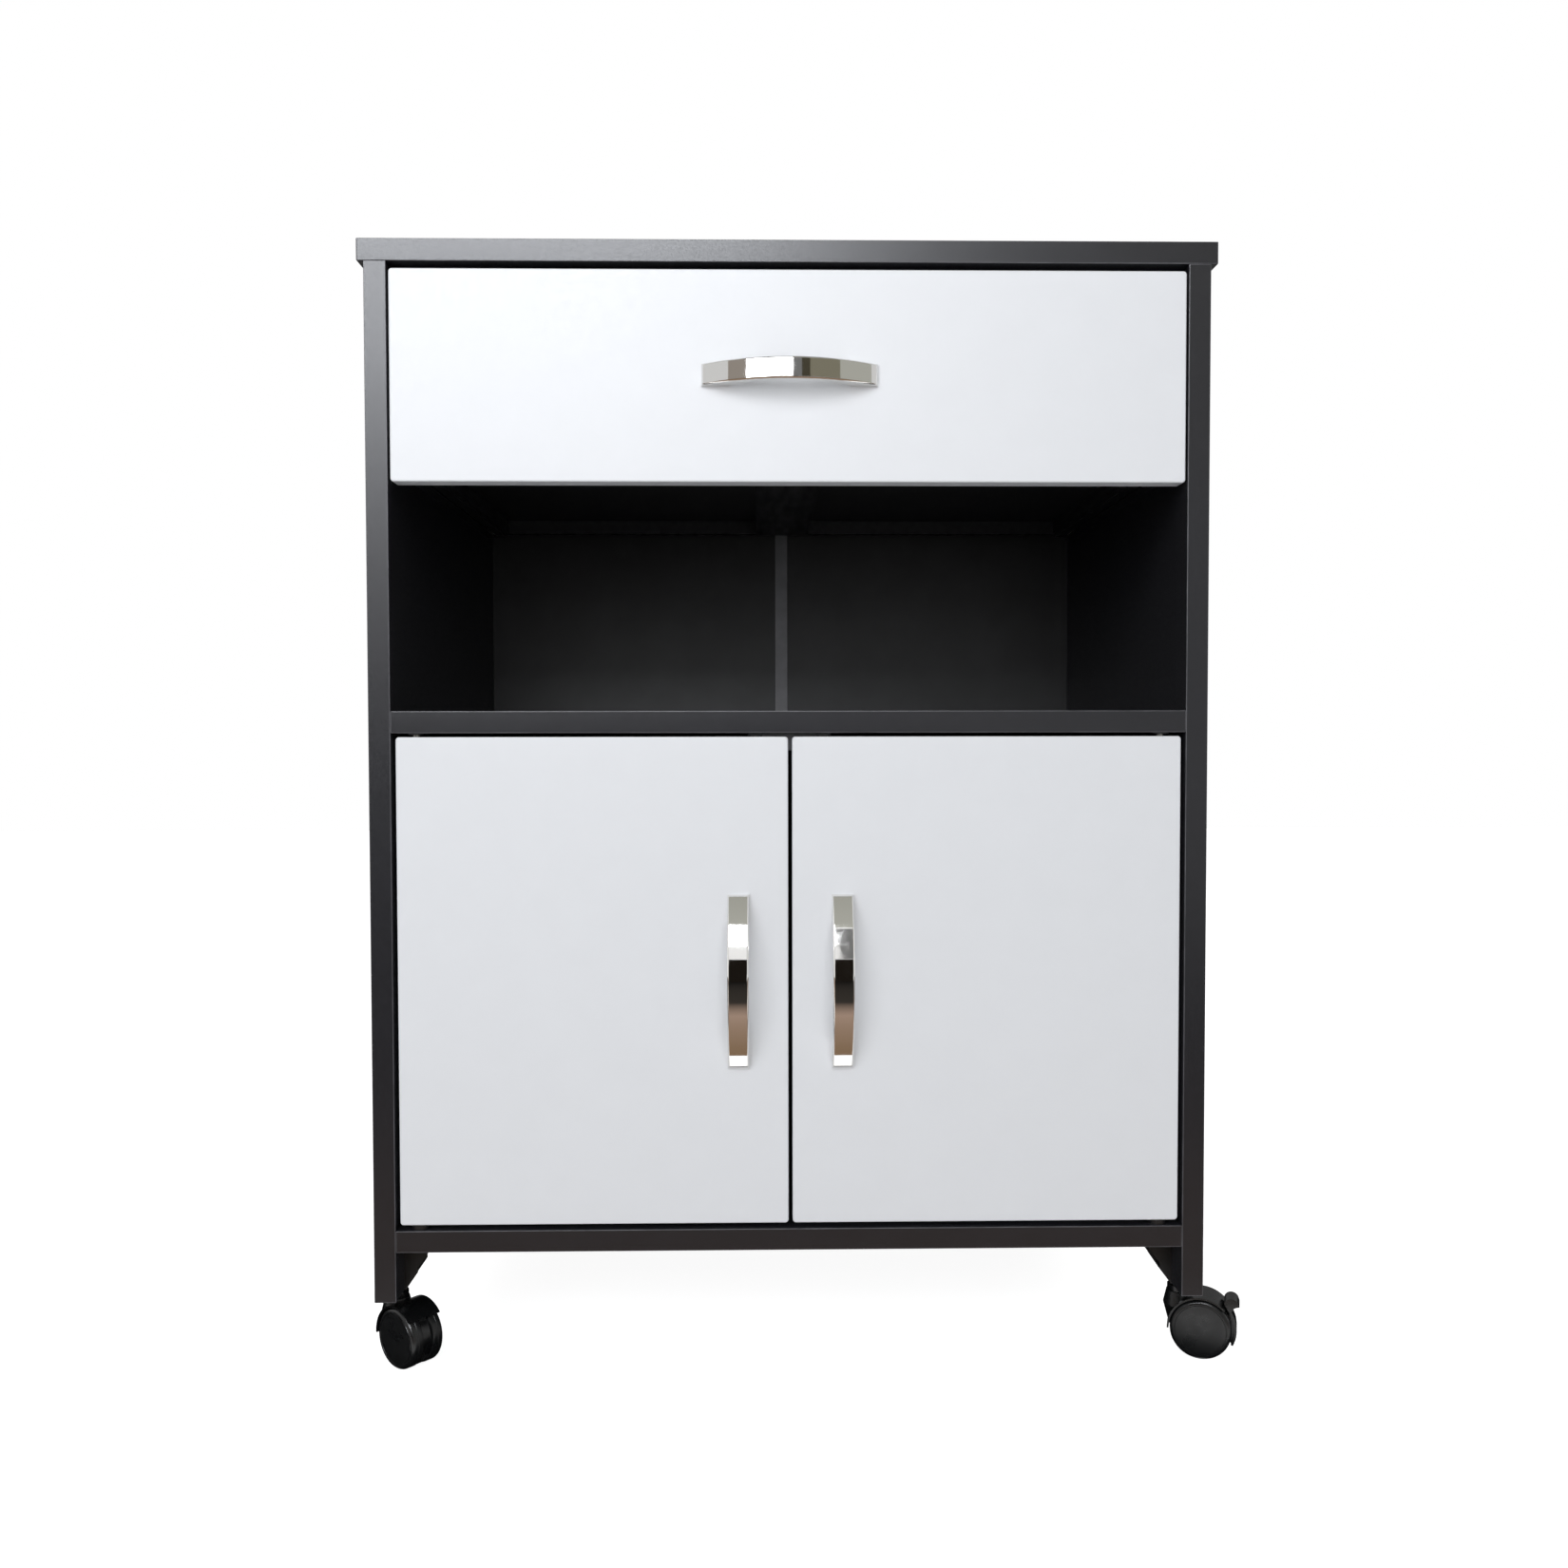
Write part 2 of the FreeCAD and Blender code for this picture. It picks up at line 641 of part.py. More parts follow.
# ---------------------------------------------------------------- casters
# A caster is modelled with its swivel axis on Z, trailing along +X, and is then turned.
def wheel():
    """Wheel on the +Y side: soft tread edges, dished cap with a raised ring."""
    bore = axle_radius + bore_clearance
    blind = wheel_inner + axle_in_wheel + axle_end_gap
    edge = wheel_radius - wheel_edge
    ring = edge - wheel_ring
    outline = [
        (bore, wheel_inner), (wheel_radius - wheel_inner_break, wheel_inner), (wheel_radius, wheel_inner + wheel_inner_break),
        (wheel_radius, wheel_outer - wheel_edge), (wheel_radius - wheel_edge_break, wheel_outer - wheel_edge_break),
        (edge, wheel_outer), (ring, wheel_outer), (ring - wheel_ring_slope, wheel_outer - wheel_dish),
        (0, wheel_outer - wheel_dish / 2), (0, blind), (bore, blind),
    ]
    shape = turned(outline)
    shape.rotate(Vector(0, 0, 0), X, -90)
    shape.translate(Vector(trail, 0, axle_z))
    return shape


def sector(radius, start, stop, y_half):
    """Solid pie slice about the axle, angles in degrees up from +X."""
    slab = Part.makeCylinder(radius, 2 * y_half, Vector(0, 0, 0), Z, stop - start)
    slab.rotate(Vector(0, 0, 0), Z, start)
    slab.rotate(Vector(0, 0, 0), X, 90)
    slab.translate(Vector(trail, y_half, axle_z))
    return slab


def about_axle(radius, angle):
    """Point in the caster's middle plane, by radius and angle about the axle."""
    turn = math.radians(angle)
    return Vector(trail + radius * math.cos(turn), 0, axle_z + radius * math.sin(turn))


def hood(with_lever):
    """Hood: web between the wheels, flared collar round the stem, fender over the treads."""
    clear = wheel_radius + fender_gap
    top = caster_height - sleeve_flange - stem_shoulder - swivel_gap
    middle = (top + axle_z) / 2
    flare = turned([
        (0, axle_z), (collar_flare - flare_foot, axle_z), (collar_flare, middle),
        (collar_radius + collar_step, top - collar_bead_drop),
        (collar_radius, top - collar_bead_drop + collar_step), (collar_radius, top - collar_break),
        (collar_radius - collar_break, top), (0, top),
    ])
    fender = sector(clear + fender_wall, fender_from, fender_to, wheel_outer)
    web = rod(Vector(trail, web_thickness / 2, axle_z), -Y, web_radius, web_thickness)
    tread_room = rod(Vector(trail, wheel_outer + 1, axle_z), -Y, clear, 2 * wheel_outer + 2)
    shell = flare.fuse(fender).cut(tread_room)
    spine = flare.common(block(-collar_flare, collar_flare, -web_thickness / 2, web_thickness / 2,
                               0, caster_height))
    spoke = fender.common(block(-collar_flare, trail + clear + fender_wall, -web_thickness / 2,
                                web_thickness / 2, 0, caster_height))
    body = shell.fuse([web, spine, spoke])
    stem_room = rod(Vector(0, 0, top - stem_in_hood), Z, stem_radius + bore_clearance, stem_in_hood)
    axle = rod(Vector(trail, axle_in_wheel + wheel_inner, axle_z), -Y, axle_radius,
               2 * (axle_in_wheel + wheel_inner))
    body = body.cut([stem_room, axle])
    if with_lever:
        half = lever_rib / 2 + lever_slot_gap
        slot = sector(clear, lever_slot_low, fender_from, half).cut(
            rod(Vector(trail, half, axle_z), -Y, axle_radius + 4, 2 * half))
        pin = rod(about_axle(lever_pin_reach, lever_pin_angle) + Y * (web_thickness / 2), -Y,
                  lever_pin_radius, web_thickness)
        body = body.cut(slot).fuse(pin)
    return body.removeSplitter(), axle


def brake_lever():
    """Foot lever: curved shoe behind the treads, tongue to press, rib on the hood's pin."""
    half = lever_width / 2
    shoe = sector(shoe_outer, lever_low, lever_high, half).cut(
        rod(Vector(trail, half + 1, axle_z), -Y, shoe_inner, lever_width + 2))
    over_fender = wheel_radius + fender_gap + fender_wall + tongue_lift
    out = shoe_outer + tongue_reach
    root_low = about_axle(shoe_inner + lever_wall / 2, tongue_root_low)
    root_high = about_axle(over_fender, tongue_root_high)
    crown = about_axle((over_fender + out) / 2 + tongue_crown_rise, tongue_crown)
    tip_high, tip_low = about_axle(out, tongue_tip_high), about_axle(out - 1.0, tongue_tip_low)
    hollow = about_axle((shoe_outer + out) / 2 - 1.0, tongue_hollow)
    edges = [
        Part.Arc(root_high, crown, tip_high).toShape(),
        Part.LineSegment(tip_high, tip_low).toShape(),
        Part.Arc(tip_low, hollow, root_low).toShape(),
        Part.LineSegment(root_low, root_high).toShape(),
    ]
    tongue = Part.Face(Part.Wire(edges)).extrude(Y * tongue_width)
    tongue.translate(Y * (-tongue_width / 2))
    pin_at = about_axle(lever_pin_reach, lever_pin_angle)
    eye = rod(pin_at + Y * (lever_rib / 2), -Y, 2.2 * lever_pin_radius, lever_rib)
    rib = sector(shoe_inner + 1, lever_pin_angle - 7, lever_pin_angle + 7, lever_rib / 2).cut(
        rod(Vector(trail, lever_rib, axle_z), -Y, lever_pin_reach, 2 * lever_rib))
    bore = rod(pin_at + Y * lever_rib, -Y, lever_pin_radius + bore_clearance, 2 * lever_rib)
    return shoe.fuse([tongue, eye, rib]).cut(bore).removeSplitter()


def stem():
    """Steel stem with its shoulder under the sleeve and a rounded, necked top."""
    low = caster_height - sleeve_flange - stem_shoulder - swivel_gap - stem_in_hood + 0.5
    shoulder_low = caster_height - sleeve_flange - stem_shoulder
    high = caster_height + stem_length
    neck = stem_radius - 0.8
    return turned([
        (0, low), (stem_radius, low), (stem_radius, shoulder_low), (stem_shoulder_radius, shoulder_low),
        (stem_shoulder_radius, shoulder_low + stem_shoulder), (stem_radius, shoulder_low + stem_shoulder),
        (stem_radius, high - 8), (neck, high - 7), (neck, high - 4), (stem_radius, high - 3),
        (stem_radius, high - 1.5), (stem_radius - 1.5, high), (0, high),
    ])


def sleeve():
    """Plastic sleeve pressed into the end of the side panel."""
    low = caster_height - sleeve_flange
    high = caster_height + sleeve_length
    body = turned([
        (0, low), (sleeve_flange_radius, low), (sleeve_flange_radius, caster_height),
        (sleeve_radius, caster_height), (sleeve_radius, high), (0, high),
    ])
    return body.cut(turned([(0, low), (stem_radius, low), (stem_radius, high - 1), (0, high - 1)]))


def caster_place(name):
    """Where a caster's swivel axis stands, and its turn."""
    x = stem_x if name.endswith("right") else -stem_x
    y = front_y + caster_setback if name.startswith("front") else back_y - caster_setback
    return Vector(x, y, 0), caster_turn[name]


def placed(shape, name):
    at, turn = caster_place(name)
    shape = shape.copy()
    shape.rotate(Vector(0, 0, 0), Z, turn)
    shape.translate(at)
    return shape


def casters():
    stems, sleeves = [], []
    one_wheel = wheel()
    other_wheel = one_wheel.mirror(Vector(0, 0, 0), Y)
    for name in caster_turn:
        with_lever = name in braked
        body, axle = hood(with_lever)
        parts["caster_hood_" + name] = placed(group([body, axle]), name)
        parts["caster_wheel_a_" + name] = placed(one_wheel, name)
        parts["caster_wheel_b_" + name] = placed(other_wheel, name)
        if with_lever:
            parts["brake_lever_" + name] = placed(brake_lever(), name)
        stems.append(placed(stem(), name))
        sleeves.append(placed(sleeve(), name))
    parts["caster_stems"] = group(stems)
    parts["caster_sleeves"] = group(sleeves)


# ---------------------------------------------------------------- carcass
def carcass(catch_screws):
    """Boards with every fitting's hole, the back, and the carcass's own fittings."""
    confirmat_screws, caps = confirmats_and_caps()
    cam_nuts, cam_bolts = top_cams()
    nails = back_nails()
    braces = at_four_feet(gusset())
    brace_screws = [copy for piece in gusset_screws() for copy in at_four_feet(piece)]
    channel_screws = runner_screws()
    channel_screws += [mirror_x(piece) for piece in channel_screws]
    bushes = pivot_bushes()
    bushes += [mirror_x(piece) for piece in bushes]
    fittings = confirmat_screws + cam_nuts + cam_bolts + nails + brace_screws + channel_screws

    def fitted(shape, tools):
        near = [tool for tool in tools if tool.BoundBox.intersect(shape.BoundBox)]
        return shape.cut(near) if near else shape

    side = banded_board(inner_half, outer_half, front_y, back_y, side_bottom, top_low)
    stem_room = [placed(rod(Vector(0, 0, 0), Z, sleeve_radius, caster_height + sleeve_length), name)
                 for name in caster_turn]
    parts["side_panel_right"] = fitted(side, fittings + stem_room)
    parts["side_panel_left"] = fitted(mirror_x(side), fittings + stem_room)
    top_half = outer_half + top_overhang
    top = banded_board(-top_half, top_half, front_y, back_y, top_low, top_high)
    parts["top_panel"] = fitted(top, fittings)
    shelf = banded_board(-inner_half, inner_half, front_y, back_y - shelf_short, shelf_low, shelf_high)
    seats = pivot_seats()
    parts["middle_shelf"] = fitted(shelf, fittings + seats + catch_screws)
    floor = banded_board(-inner_half, inner_half, front_y, back_y, bottom_low, bottom_high)
    parts["bottom_panel"] = fitted(floor, fittings + seats)

    web_half = strip_wall / 2
    panel = block(web_half, outer_half, back_y, back_y + back_thickness, bottom_low, top_low + back_cover)
    parts["back_panel_right"] = fitted(panel, nails)
    parts["back_panel_left"] = fitted(mirror_x(panel), nails)
    half = strip_flange / 2
    low, high = bottom_high, top_low
    parts["back_joint_strip"] = block(-half, half, back_y - strip_wall, back_y, low, high).fuse([
        block(-web_half, web_half, back_y, back_y + back_thickness, low, high),
        block(-half, half, back_y + back_thickness, back_y + back_thickness + strip_wall, low, high),
    ]).removeSplitter()

    channel = runner_channel()
    parts["runner_channel_right"] = fitted(channel, channel_screws)
    parts["runner_channel_left"] = fitted(mirror_x(channel), channel_screws)
    start = inner_half - runner_sheet - roller_side_gap - roller_width
    wheel_right = roller(start, cabinet_roller_y, cabinet_roller_z)
    parts["cabinet_roller_right"] = wheel_right
    parts["cabinet_roller_left"] = mirror_x(wheel_right)
    parts["foot_gussets"] = group([fitted(piece, brace_screws) for piece in braces])
    parts["pivot_bushes"] = group(bushes)
    parts["confirmat_screws"] = group(confirmat_screws)
    parts["screw_caps"] = group(caps)
    parts["cam_fittings"] = group(cam_nuts + cam_bolts)
    parts["wood_screws"] = group(brace_screws + channel_screws + catch_screws)
    parts["back_nails"] = group(nails)


def pivot_seats():
    """Blind holes in the shelf and the bottom panel that take the pivot bushes."""
    holes = []
    for side in (-1, 1):
        holes.append(rod(Vector(side * pivot_x, pivot_y, shelf_low), Z, bush_radius, bush_depth))
        holes.append(rod(Vector(side * pivot_x, pivot_y, bottom_high - bush_depth), Z, bush_radius, bush_depth))
    return holes


# ---------------------------------------------------------------- build and export
drawer_box()
doors()
casters()
carcass(catch())

os.makedirs("parts", exist_ok=True)
for node, shape in parts.items():
    shape.exportStep(os.path.join("parts", node + ".step"))
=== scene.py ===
import json
import math

import bmesh
import bpy
from mathutils import Matrix, Vector


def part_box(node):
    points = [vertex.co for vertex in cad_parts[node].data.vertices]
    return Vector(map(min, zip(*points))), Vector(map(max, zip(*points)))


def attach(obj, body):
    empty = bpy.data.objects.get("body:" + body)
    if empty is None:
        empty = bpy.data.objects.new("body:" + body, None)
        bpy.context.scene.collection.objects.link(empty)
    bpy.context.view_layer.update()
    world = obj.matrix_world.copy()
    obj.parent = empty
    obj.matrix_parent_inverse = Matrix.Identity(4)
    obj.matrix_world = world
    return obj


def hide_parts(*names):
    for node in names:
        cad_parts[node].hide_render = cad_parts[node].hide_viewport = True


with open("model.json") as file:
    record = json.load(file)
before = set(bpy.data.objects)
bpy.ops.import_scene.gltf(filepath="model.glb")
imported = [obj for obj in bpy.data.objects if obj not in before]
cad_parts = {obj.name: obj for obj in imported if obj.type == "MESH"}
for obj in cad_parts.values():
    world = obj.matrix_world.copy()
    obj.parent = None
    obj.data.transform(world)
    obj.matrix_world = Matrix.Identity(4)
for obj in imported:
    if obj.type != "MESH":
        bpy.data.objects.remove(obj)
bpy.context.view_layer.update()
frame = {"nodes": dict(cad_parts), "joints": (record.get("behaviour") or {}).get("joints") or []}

bl_info = {
    "name": "Microwave stand with drawer",
    "version": (1, 0, 0),
    "blender": (4, 5, 0),
    "location": "3D Viewport > Sidebar > Stand",
    "description": "Dresses the frame of a melamine stand on casters, piece by piece",
    "category": "Object",
}

MM = 0.001

# Places that the pieces share with the frame, in millimetres.
FRONT_LOW, FRONT_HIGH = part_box("drawer_front")
DOOR_LOW, DOOR_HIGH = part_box("door_right")
FRONT_Y = FRONT_LOW.y / MM
BEHIND_FRONT = FRONT_HIGH.y / MM
HANDLE_HOLES = 96.0
DOOR_HANDLE_X = 38.0
DRAWER_HANDLE_Z = (FRONT_LOW.z + FRONT_HIGH.z) / 2 / MM
DOOR_HANDLE_Z = (DOOR_LOW.z + DOOR_HIGH.z) / 2 / MM
CASTERS = ("front_left", "front_right", "rear_left", "rear_right")
# Distances in metres under which two points or places count as one.
SAME_POINT, SAME_PLACE = 2e-6, 1e-7
# The fronts' back, in metres: its softened rim, foil turned in from the edge, step where the foil ends.
BACK_RIM, FOIL_BORDER, FOIL_STEP = 0.3 * MM, 2.2 * MM, 0.1 * MM
CORNER_CLEAR = 8 * MM
SEAM_DEPTH = 0.12 * MM
# Ribs between a caster's wheels: inner and outer radius in mm, first and last angle up from the
# caster's own +X in degrees, half thickness in mm.
HOOD_RIB = (20.2, 22.1, 182, 322, 3.6)
LEVER_RIB = (22.1, 24.8, -26, 28, 3.7)
RIB_STEP = 5


# ---------------------------------------------------------------- sizes and colours
def linear(code):
    """An sRGB hex colour as the linear red, green and blue that shaders take."""
    levels = [int(code[k:k + 2], 16) / 255 for k in (1, 3, 5)]
    return [v / 12.92 if v <= 0.04045 else ((v + 0.055) / 1.055) ** 2.4 for v in levels]


def length(label, text, default):
    return bpy.props.FloatProperty(
        name=label, description=text, default=default * MM, min=0.0, unit="LENGTH", precision=5)


def colour(label, text, code):
    return bpy.props.FloatVectorProperty(
        name=label, description=text, default=linear(code), size=3, min=0.0, max=1.0, subtype="COLOR")


class StandSizes(bpy.types.PropertyGroup):
    """Sizes of the finish that the frame leaves open."""

    arris: length("Arris", "Broken edge of the edge banding", 0.6)
    band: length("Edge band", "Thickness of the edge banding", 1.0)
    band_seam: length("Band seam", "Width of the glue line behind the banding", 0.25)
    front_corner: length("Front corner", "Corner radius of the white fronts", 2.5)
    front_edge: length("Front edge", "Rounding of the foil over the front edge", 1.3)
    bow_edge: length("Bow edge", "Chamfer round the face of the bow handles", 1.1)
    tread_edge: length("Tread edge", "Rounding of a wheel's outer shoulder", 3.0)


class StandColours(bpy.types.PropertyGroup):
    """Colours of the finishes."""

    charcoal: colour("Charcoal", "Melamine of the carcass", "#242429")
    banding: colour("Banding", "Edge banding of the carcass", "#202025")
    # The arris colour is paler than the banding: a painted highlight along the broken edges.
    arris: colour("Arris", "Scraped edges of the banding", "#5c5c61")
    white: colour("White", "Foil on the drawer front and the doors", "#eef0f3")
    drawer: colour("Drawer boards", "Paper foil on the drawer box", "#2c2c2f")
    fibre: colour("Fibre", "Bare rear face of the hardboard", "#7a5a3c")
    chrome: colour("Chrome", "Plating of the handles", "#e9e8e6")
    runner: colour("Runner", "Powder coat on the runners", "#2b2c2e")
    caster: colour("Caster", "Moulded hoods and levers", "#101112")
    wheel: colour("Wheel", "Treads and caps of the wheels", "#131415")


# ---------------------------------------------------------------- modelling by hand
KINDS = {"verts": "VERT", "edges": "EDGE", "faces": "FACE"}


def work_on(obj):
    """Make one object the only selected and the active one."""
    bpy.ops.object.select_all(action="DESELECT")
    obj.select_set(True)
    bpy.context.view_layer.objects.active = obj


def open_mesh(obj):
    work_on(obj)
    bpy.ops.object.mode_set(mode="EDIT")


def smooth(obj, angle):
    """Smooth by angle, the large flat faces kept flat beside their rounded edges."""
    bpy.ops.object.shade_smooth_by_angle(angle=math.radians(angle))
    weigh = obj.modifiers.new("weigh_normals", "WEIGHTED_NORMAL")
    weigh.weight, weigh.keep_sharp = 100, True
    bpy.ops.object.modifier_apply(modifier=weigh.name)


def close_mesh(angle=35):
    """Merge doubles, turn the faces outwards, leave edit mode and smooth by angle."""
    bpy.ops.mesh.select_all(action="SELECT")
    bpy.ops.mesh.remove_doubles(threshold=SAME_POINT)
    bpy.ops.mesh.normals_make_consistent(inside=False)
    bpy.ops.object.mode_set(mode="OBJECT")
    smooth(bpy.context.object, angle)


def pick(obj, kind, test):
    """In edit mode, select the verts, edges or faces that pass a test."""
    bpy.ops.mesh.select_mode(type=KINDS[kind])
    bpy.ops.mesh.select_all(action="DESELECT")
    mesh = bmesh.from_edit_mesh(obj.data)
    found = [item for item in getattr(mesh, kind) if test(item)]
    if not found:
        raise RuntimeError(f"{obj.name}: none of its {kind} was found")
    for item in found:
        item.select_set(True)
    mesh.select_flush_mode()
    bmesh.update_edit_mesh(obj.data)


def middle(item):
    return sum((v.co for v in item.verts), Vector()) / len(item.verts)


def runs_along(edge, axis):
    run = edge.verts[1].co - edge.verts[0].co
    return abs(run[axis]) > 0.999 * run.length


def bevel(obj, width, segments, test):
    pick(obj, "edges", test)
    bpy.ops.mesh.bevel(offset=width, segments=segments, affect="EDGES")


def slice_at(axis, place):
    """Cut the whole open mesh by a plane across an axis."""
    point, normal = [0.0] * 3, [0.0] * 3
    point[axis], normal[axis] = place, 1.0
    bpy.ops.mesh.select_all(action="SELECT")
    bpy.ops.mesh.bisect(plane_co=point, plane_no=normal)


def block(name, low, high):
    """A box between two corners, its place in its mesh."""
    bpy.ops.object.select_all(action="DESELECT")
    low, high = Vector(low), Vector(high)
    bpy.ops.mesh.primitive_cube_add(size=1, location=(low + high) / 2, scale=high - low)
    obj = bpy.context.object
    obj.name = obj.data.name = name
    bpy.ops.object.transform_apply(location=True, rotation=True, scale=True)
    return obj


def turned(name, outline, steps):
    """Turn an outline of (radius, height) in millimetres about Z, disc by disc."""
    radius, height = outline[0]
    bpy.ops.object.select_all(action="DESELECT")
    bpy.ops.mesh.primitive_circle_add(vertices=steps, radius=radius * MM, fill_type="NGON",
                                      location=(0, 0, height * MM))
    obj = bpy.context.object
    obj.name = obj.data.name = name
    bpy.ops.object.transform_apply(location=True, rotation=True, scale=True)
    open_mesh(obj)
    bpy.ops.mesh.select_mode(type="FACE")
    bpy.ops.mesh.select_all(action="SELECT")
    for next_radius, next_height in outline[1:]:
        rise = (next_height - height) * MM
        bpy.ops.mesh.extrude_region_move(TRANSFORM_OT_translate={"value": (0, 0, rise)})
        scale = next_radius / radius
        bpy.ops.transform.resize(value=(scale, scale, 1), center_override=(0, 0, next_height * MM))
        radius, height = next_radius, next_height
    close_mesh()
    return obj


def copy_to(obj, name, place):
    """A copy with its own mesh, moved there by a matrix."""
    twin = obj.copy()
    twin.data = obj.data.copy()
    twin.name = twin.data.name = name
    twin.data.transform(place)
    bpy.context.collection.objects.link(twin)
    return twin


def joined(name, pieces):
    """Several pieces as one object."""
    bpy.ops.object.select_all(action="DESELECT")
    for piece in pieces:
        piece.select_set(True)
    bpy.context.view_layer.objects.active = pieces[0]
    if len(pieces) > 1:
        bpy.ops.object.join()
    pieces[0].name = pieces[0].data.name = name
    return pieces[0]


def discard(obj):
    mesh = obj.data
    bpy.data.objects.remove(obj)
    bpy.data.meshes.remove(mesh)


def welded(name, node, angle=30):
    """A copy of a frame node with its triangles merged into smooth, clean faces."""
    obj = copy_to(frame["nodes"][node], name, Matrix())
    obj.parent = None
    obj.matrix_world = Matrix()
    for key in list(obj.keys()):
        del obj[key]
    obj.data.materials.clear()
    open_mesh(obj)
    bpy.ops.mesh.select_all(action="SELECT")
    bpy.ops.mesh.remove_doubles(threshold=SAME_POINT)
    bpy.ops.mesh.customdata_custom_splitnormals_clear()
    bpy.ops.mesh.dissolve_limited(angle_limit=math.radians(0.5))
    bpy.ops.object.mode_set(mode="OBJECT")
    smooth(obj, angle)
    return obj


def settle(obj, body, slot, material, *nodes):
    """Give a finished piece its material and its body, and hide the nodes it stands for. The slot is not
    used.
    """
    if not isinstance(material, (list, tuple)):
        material = [material]
    obj.data.materials.clear()
    for one in material:
        obj.data.materials.append(one)
    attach(obj, body)
    if nodes:
        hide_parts(*nodes)
    return obj


def facing(at, towards):
    """Matrix that stands a piece made along Z at a place in millimetres, its +Z turned that way."""
    turn = Vector(towards).to_track_quat("Z", "Y").to_matrix().to_4x4()
    return Matrix.Translation(Vector(at) * MM) @ turn


# ---------------------------------------------------------------- materials
def add(tree, kind, inputs=None, **settings):
    """Add a node with its settings; an input is a value, or a socket to link from."""
    made = tree.nodes.new("ShaderNode" + kind)
    for key, value in settings.items():
        setattr(made, key, value)
    for key, value in (inputs or {}).items():
        if isinstance(value, bpy.types.NodeSocket):
            tree.links.new(value, made.inputs[key])
        else:
            made.inputs[key].default_value = value
    return made


def shader_of(name, base, roughness, **sockets):
    """A new material, its tree, its Principled shader and the object's own coordinates."""
    material = bpy.data.materials.new(name)
    material.use_nodes = True
    material.diffuse_color = (*base, 1.0)
    tree = material.node_tree
    shader = tree.nodes["Principled BSDF"]
    shader.inputs["Base Color"].default_value = (*base, 1.0)
    shader.inputs["Roughness"].default_value = roughness
    for key, value in sockets.items():
        shader.inputs[key.replace("_", " ")].default_value = value
    return material, tree, shader, add(tree, "TexCoord").outputs["Object"]


def noise(tree, coords, size_mm, detail=3.0, stretch=(1, 1, 1)):
    """Noise whose grains are about size_mm across, drawn out along an axis by stretch."""
    if stretch != (1, 1, 1):
        coords = add(tree, "Mapping", {"Vector": coords, "Scale": stretch}).outputs["Vector"]
    made = add(tree, "TexNoise", {"Vector": coords, "Scale": 1 / (size_mm * MM), "Detail": detail,
                                  "Roughness": 0.55})
    return made.outputs["Fac"]


def between(tree, factor, low, high, start=0.35, stop=0.65):
    """Map a pattern onto a range of values."""
    return add(tree, "MapRange", {"Value": factor, "From Min": start, "From Max": stop,
                                  "To Min": low, "To Max": high}).outputs["Result"]


def tint(tree, shader, factor, base, shade):
    """Let a pattern carry the base colour towards a shade of itself."""
    mix = add(tree, "Mix", {"Factor": factor, "A": (*base, 1.0),
                            "B": (*[v * shade for v in base], 1.0)}, data_type="RGBA")
    tree.links.new(mix.outputs["Result"], shader.inputs["Base Color"])


def relief(tree, shader, height, depth_mm, strength=1.0):
    """Raise a pattern as bump of a real depth."""
    bump = add(tree, "Bump", {"Height": height, "Distance": depth_mm * MM, "Strength": strength})
    tree.links.new(bump.outputs["Normal"], shader.inputs["Normal"])


def melamine(base):
    """Melamine-faced chipboard with an embossed pearl grain: a fine, even satin sheen."""
    material, tree, shader, coords = shader_of("melamine_pearl_emboss", base, 0.42)
    grain = noise(tree, coords, 1.1)
    cloud = noise(tree, coords, 45.0, 2.0)
    tint(tree, shader, between(tree, cloud, 0.0, 1.0), base, 0.93)
    tree.links.new(between(tree, grain, 0.36, 0.48), shader.inputs["Roughness"])
    relief(tree, shader, grain, 0.05, 0.5)
    return material


def edge_banding(base):
    """ABS edge banding, extruded and buffed: smoother and a little glossier than the faces."""
    material, tree, shader, coords = shader_of("abs_edge_banding_satin", base, 0.32, IOR=1.6)
    grain = noise(tree, coords, 0.9)
    tint(tree, shader, between(tree, noise(tree, coords, 30.0, 2.0), 0.0, 1.0), base, 0.92)
    tree.links.new(between(tree, grain, 0.28, 0.36), shader.inputs["Roughness"])
    relief(tree, shader, grain, 0.03, 0.4)
    return material


def arris_painted_highlight(base):
    """Broken edges of the banding, unevenly paler than it: a painted highlight along the arris. The blade's
    chatter gives their bump, and they are a little duller.
    """
    material, tree, shader, coords = shader_of("abs_arris_scraped", base, 0.4, IOR=1.6)
    chatter = noise(tree, coords, 1.5, 2.0)
    tint(tree, shader, between(tree, noise(tree, coords, 18.0, 3.0), 0.0, 1.0), base, 0.6)
    relief(tree, shader, chatter, 0.02, 0.5)
    return material


def pvc_foil(base):
    """PVC foil pressed over fibreboard: semi-gloss white, the board's fibres just telling through."""
    material, tree, shader, coords = shader_of("pvc_foil_semi_gloss", base, 0.46)
    peel = noise(tree, coords, 3.2, 2.0)
    cloud = noise(tree, coords, 28.0, 4.0)
    tint(tree, shader, between(tree, cloud, 0.0, 1.0), base, 0.99)
    tree.links.new(between(tree, peel, 0.42, 0.5), shader.inputs["Roughness"])
    relief(tree, shader, peel, 0.04, 0.35)
    return material


def paper_foil(base):
    """Printed paper foil on chipboard, as drawer boards have it: matt, with a faint grain."""
    material, tree, shader, coords = shader_of("paper_foil_matt", base, 0.5)
    fibres = noise(tree, coords, 6.0, 4.0, stretch=(1, 0.12, 1))
    tint(tree, shader, between(tree, fibres, 0.0, 1.0), base, 0.85)
    tree.links.new(between(tree, fibres, 0.44, 0.56), shader.inputs["Roughness"])
    relief(tree, shader, noise(tree, coords, 1.4), 0.04, 0.4)
    return material


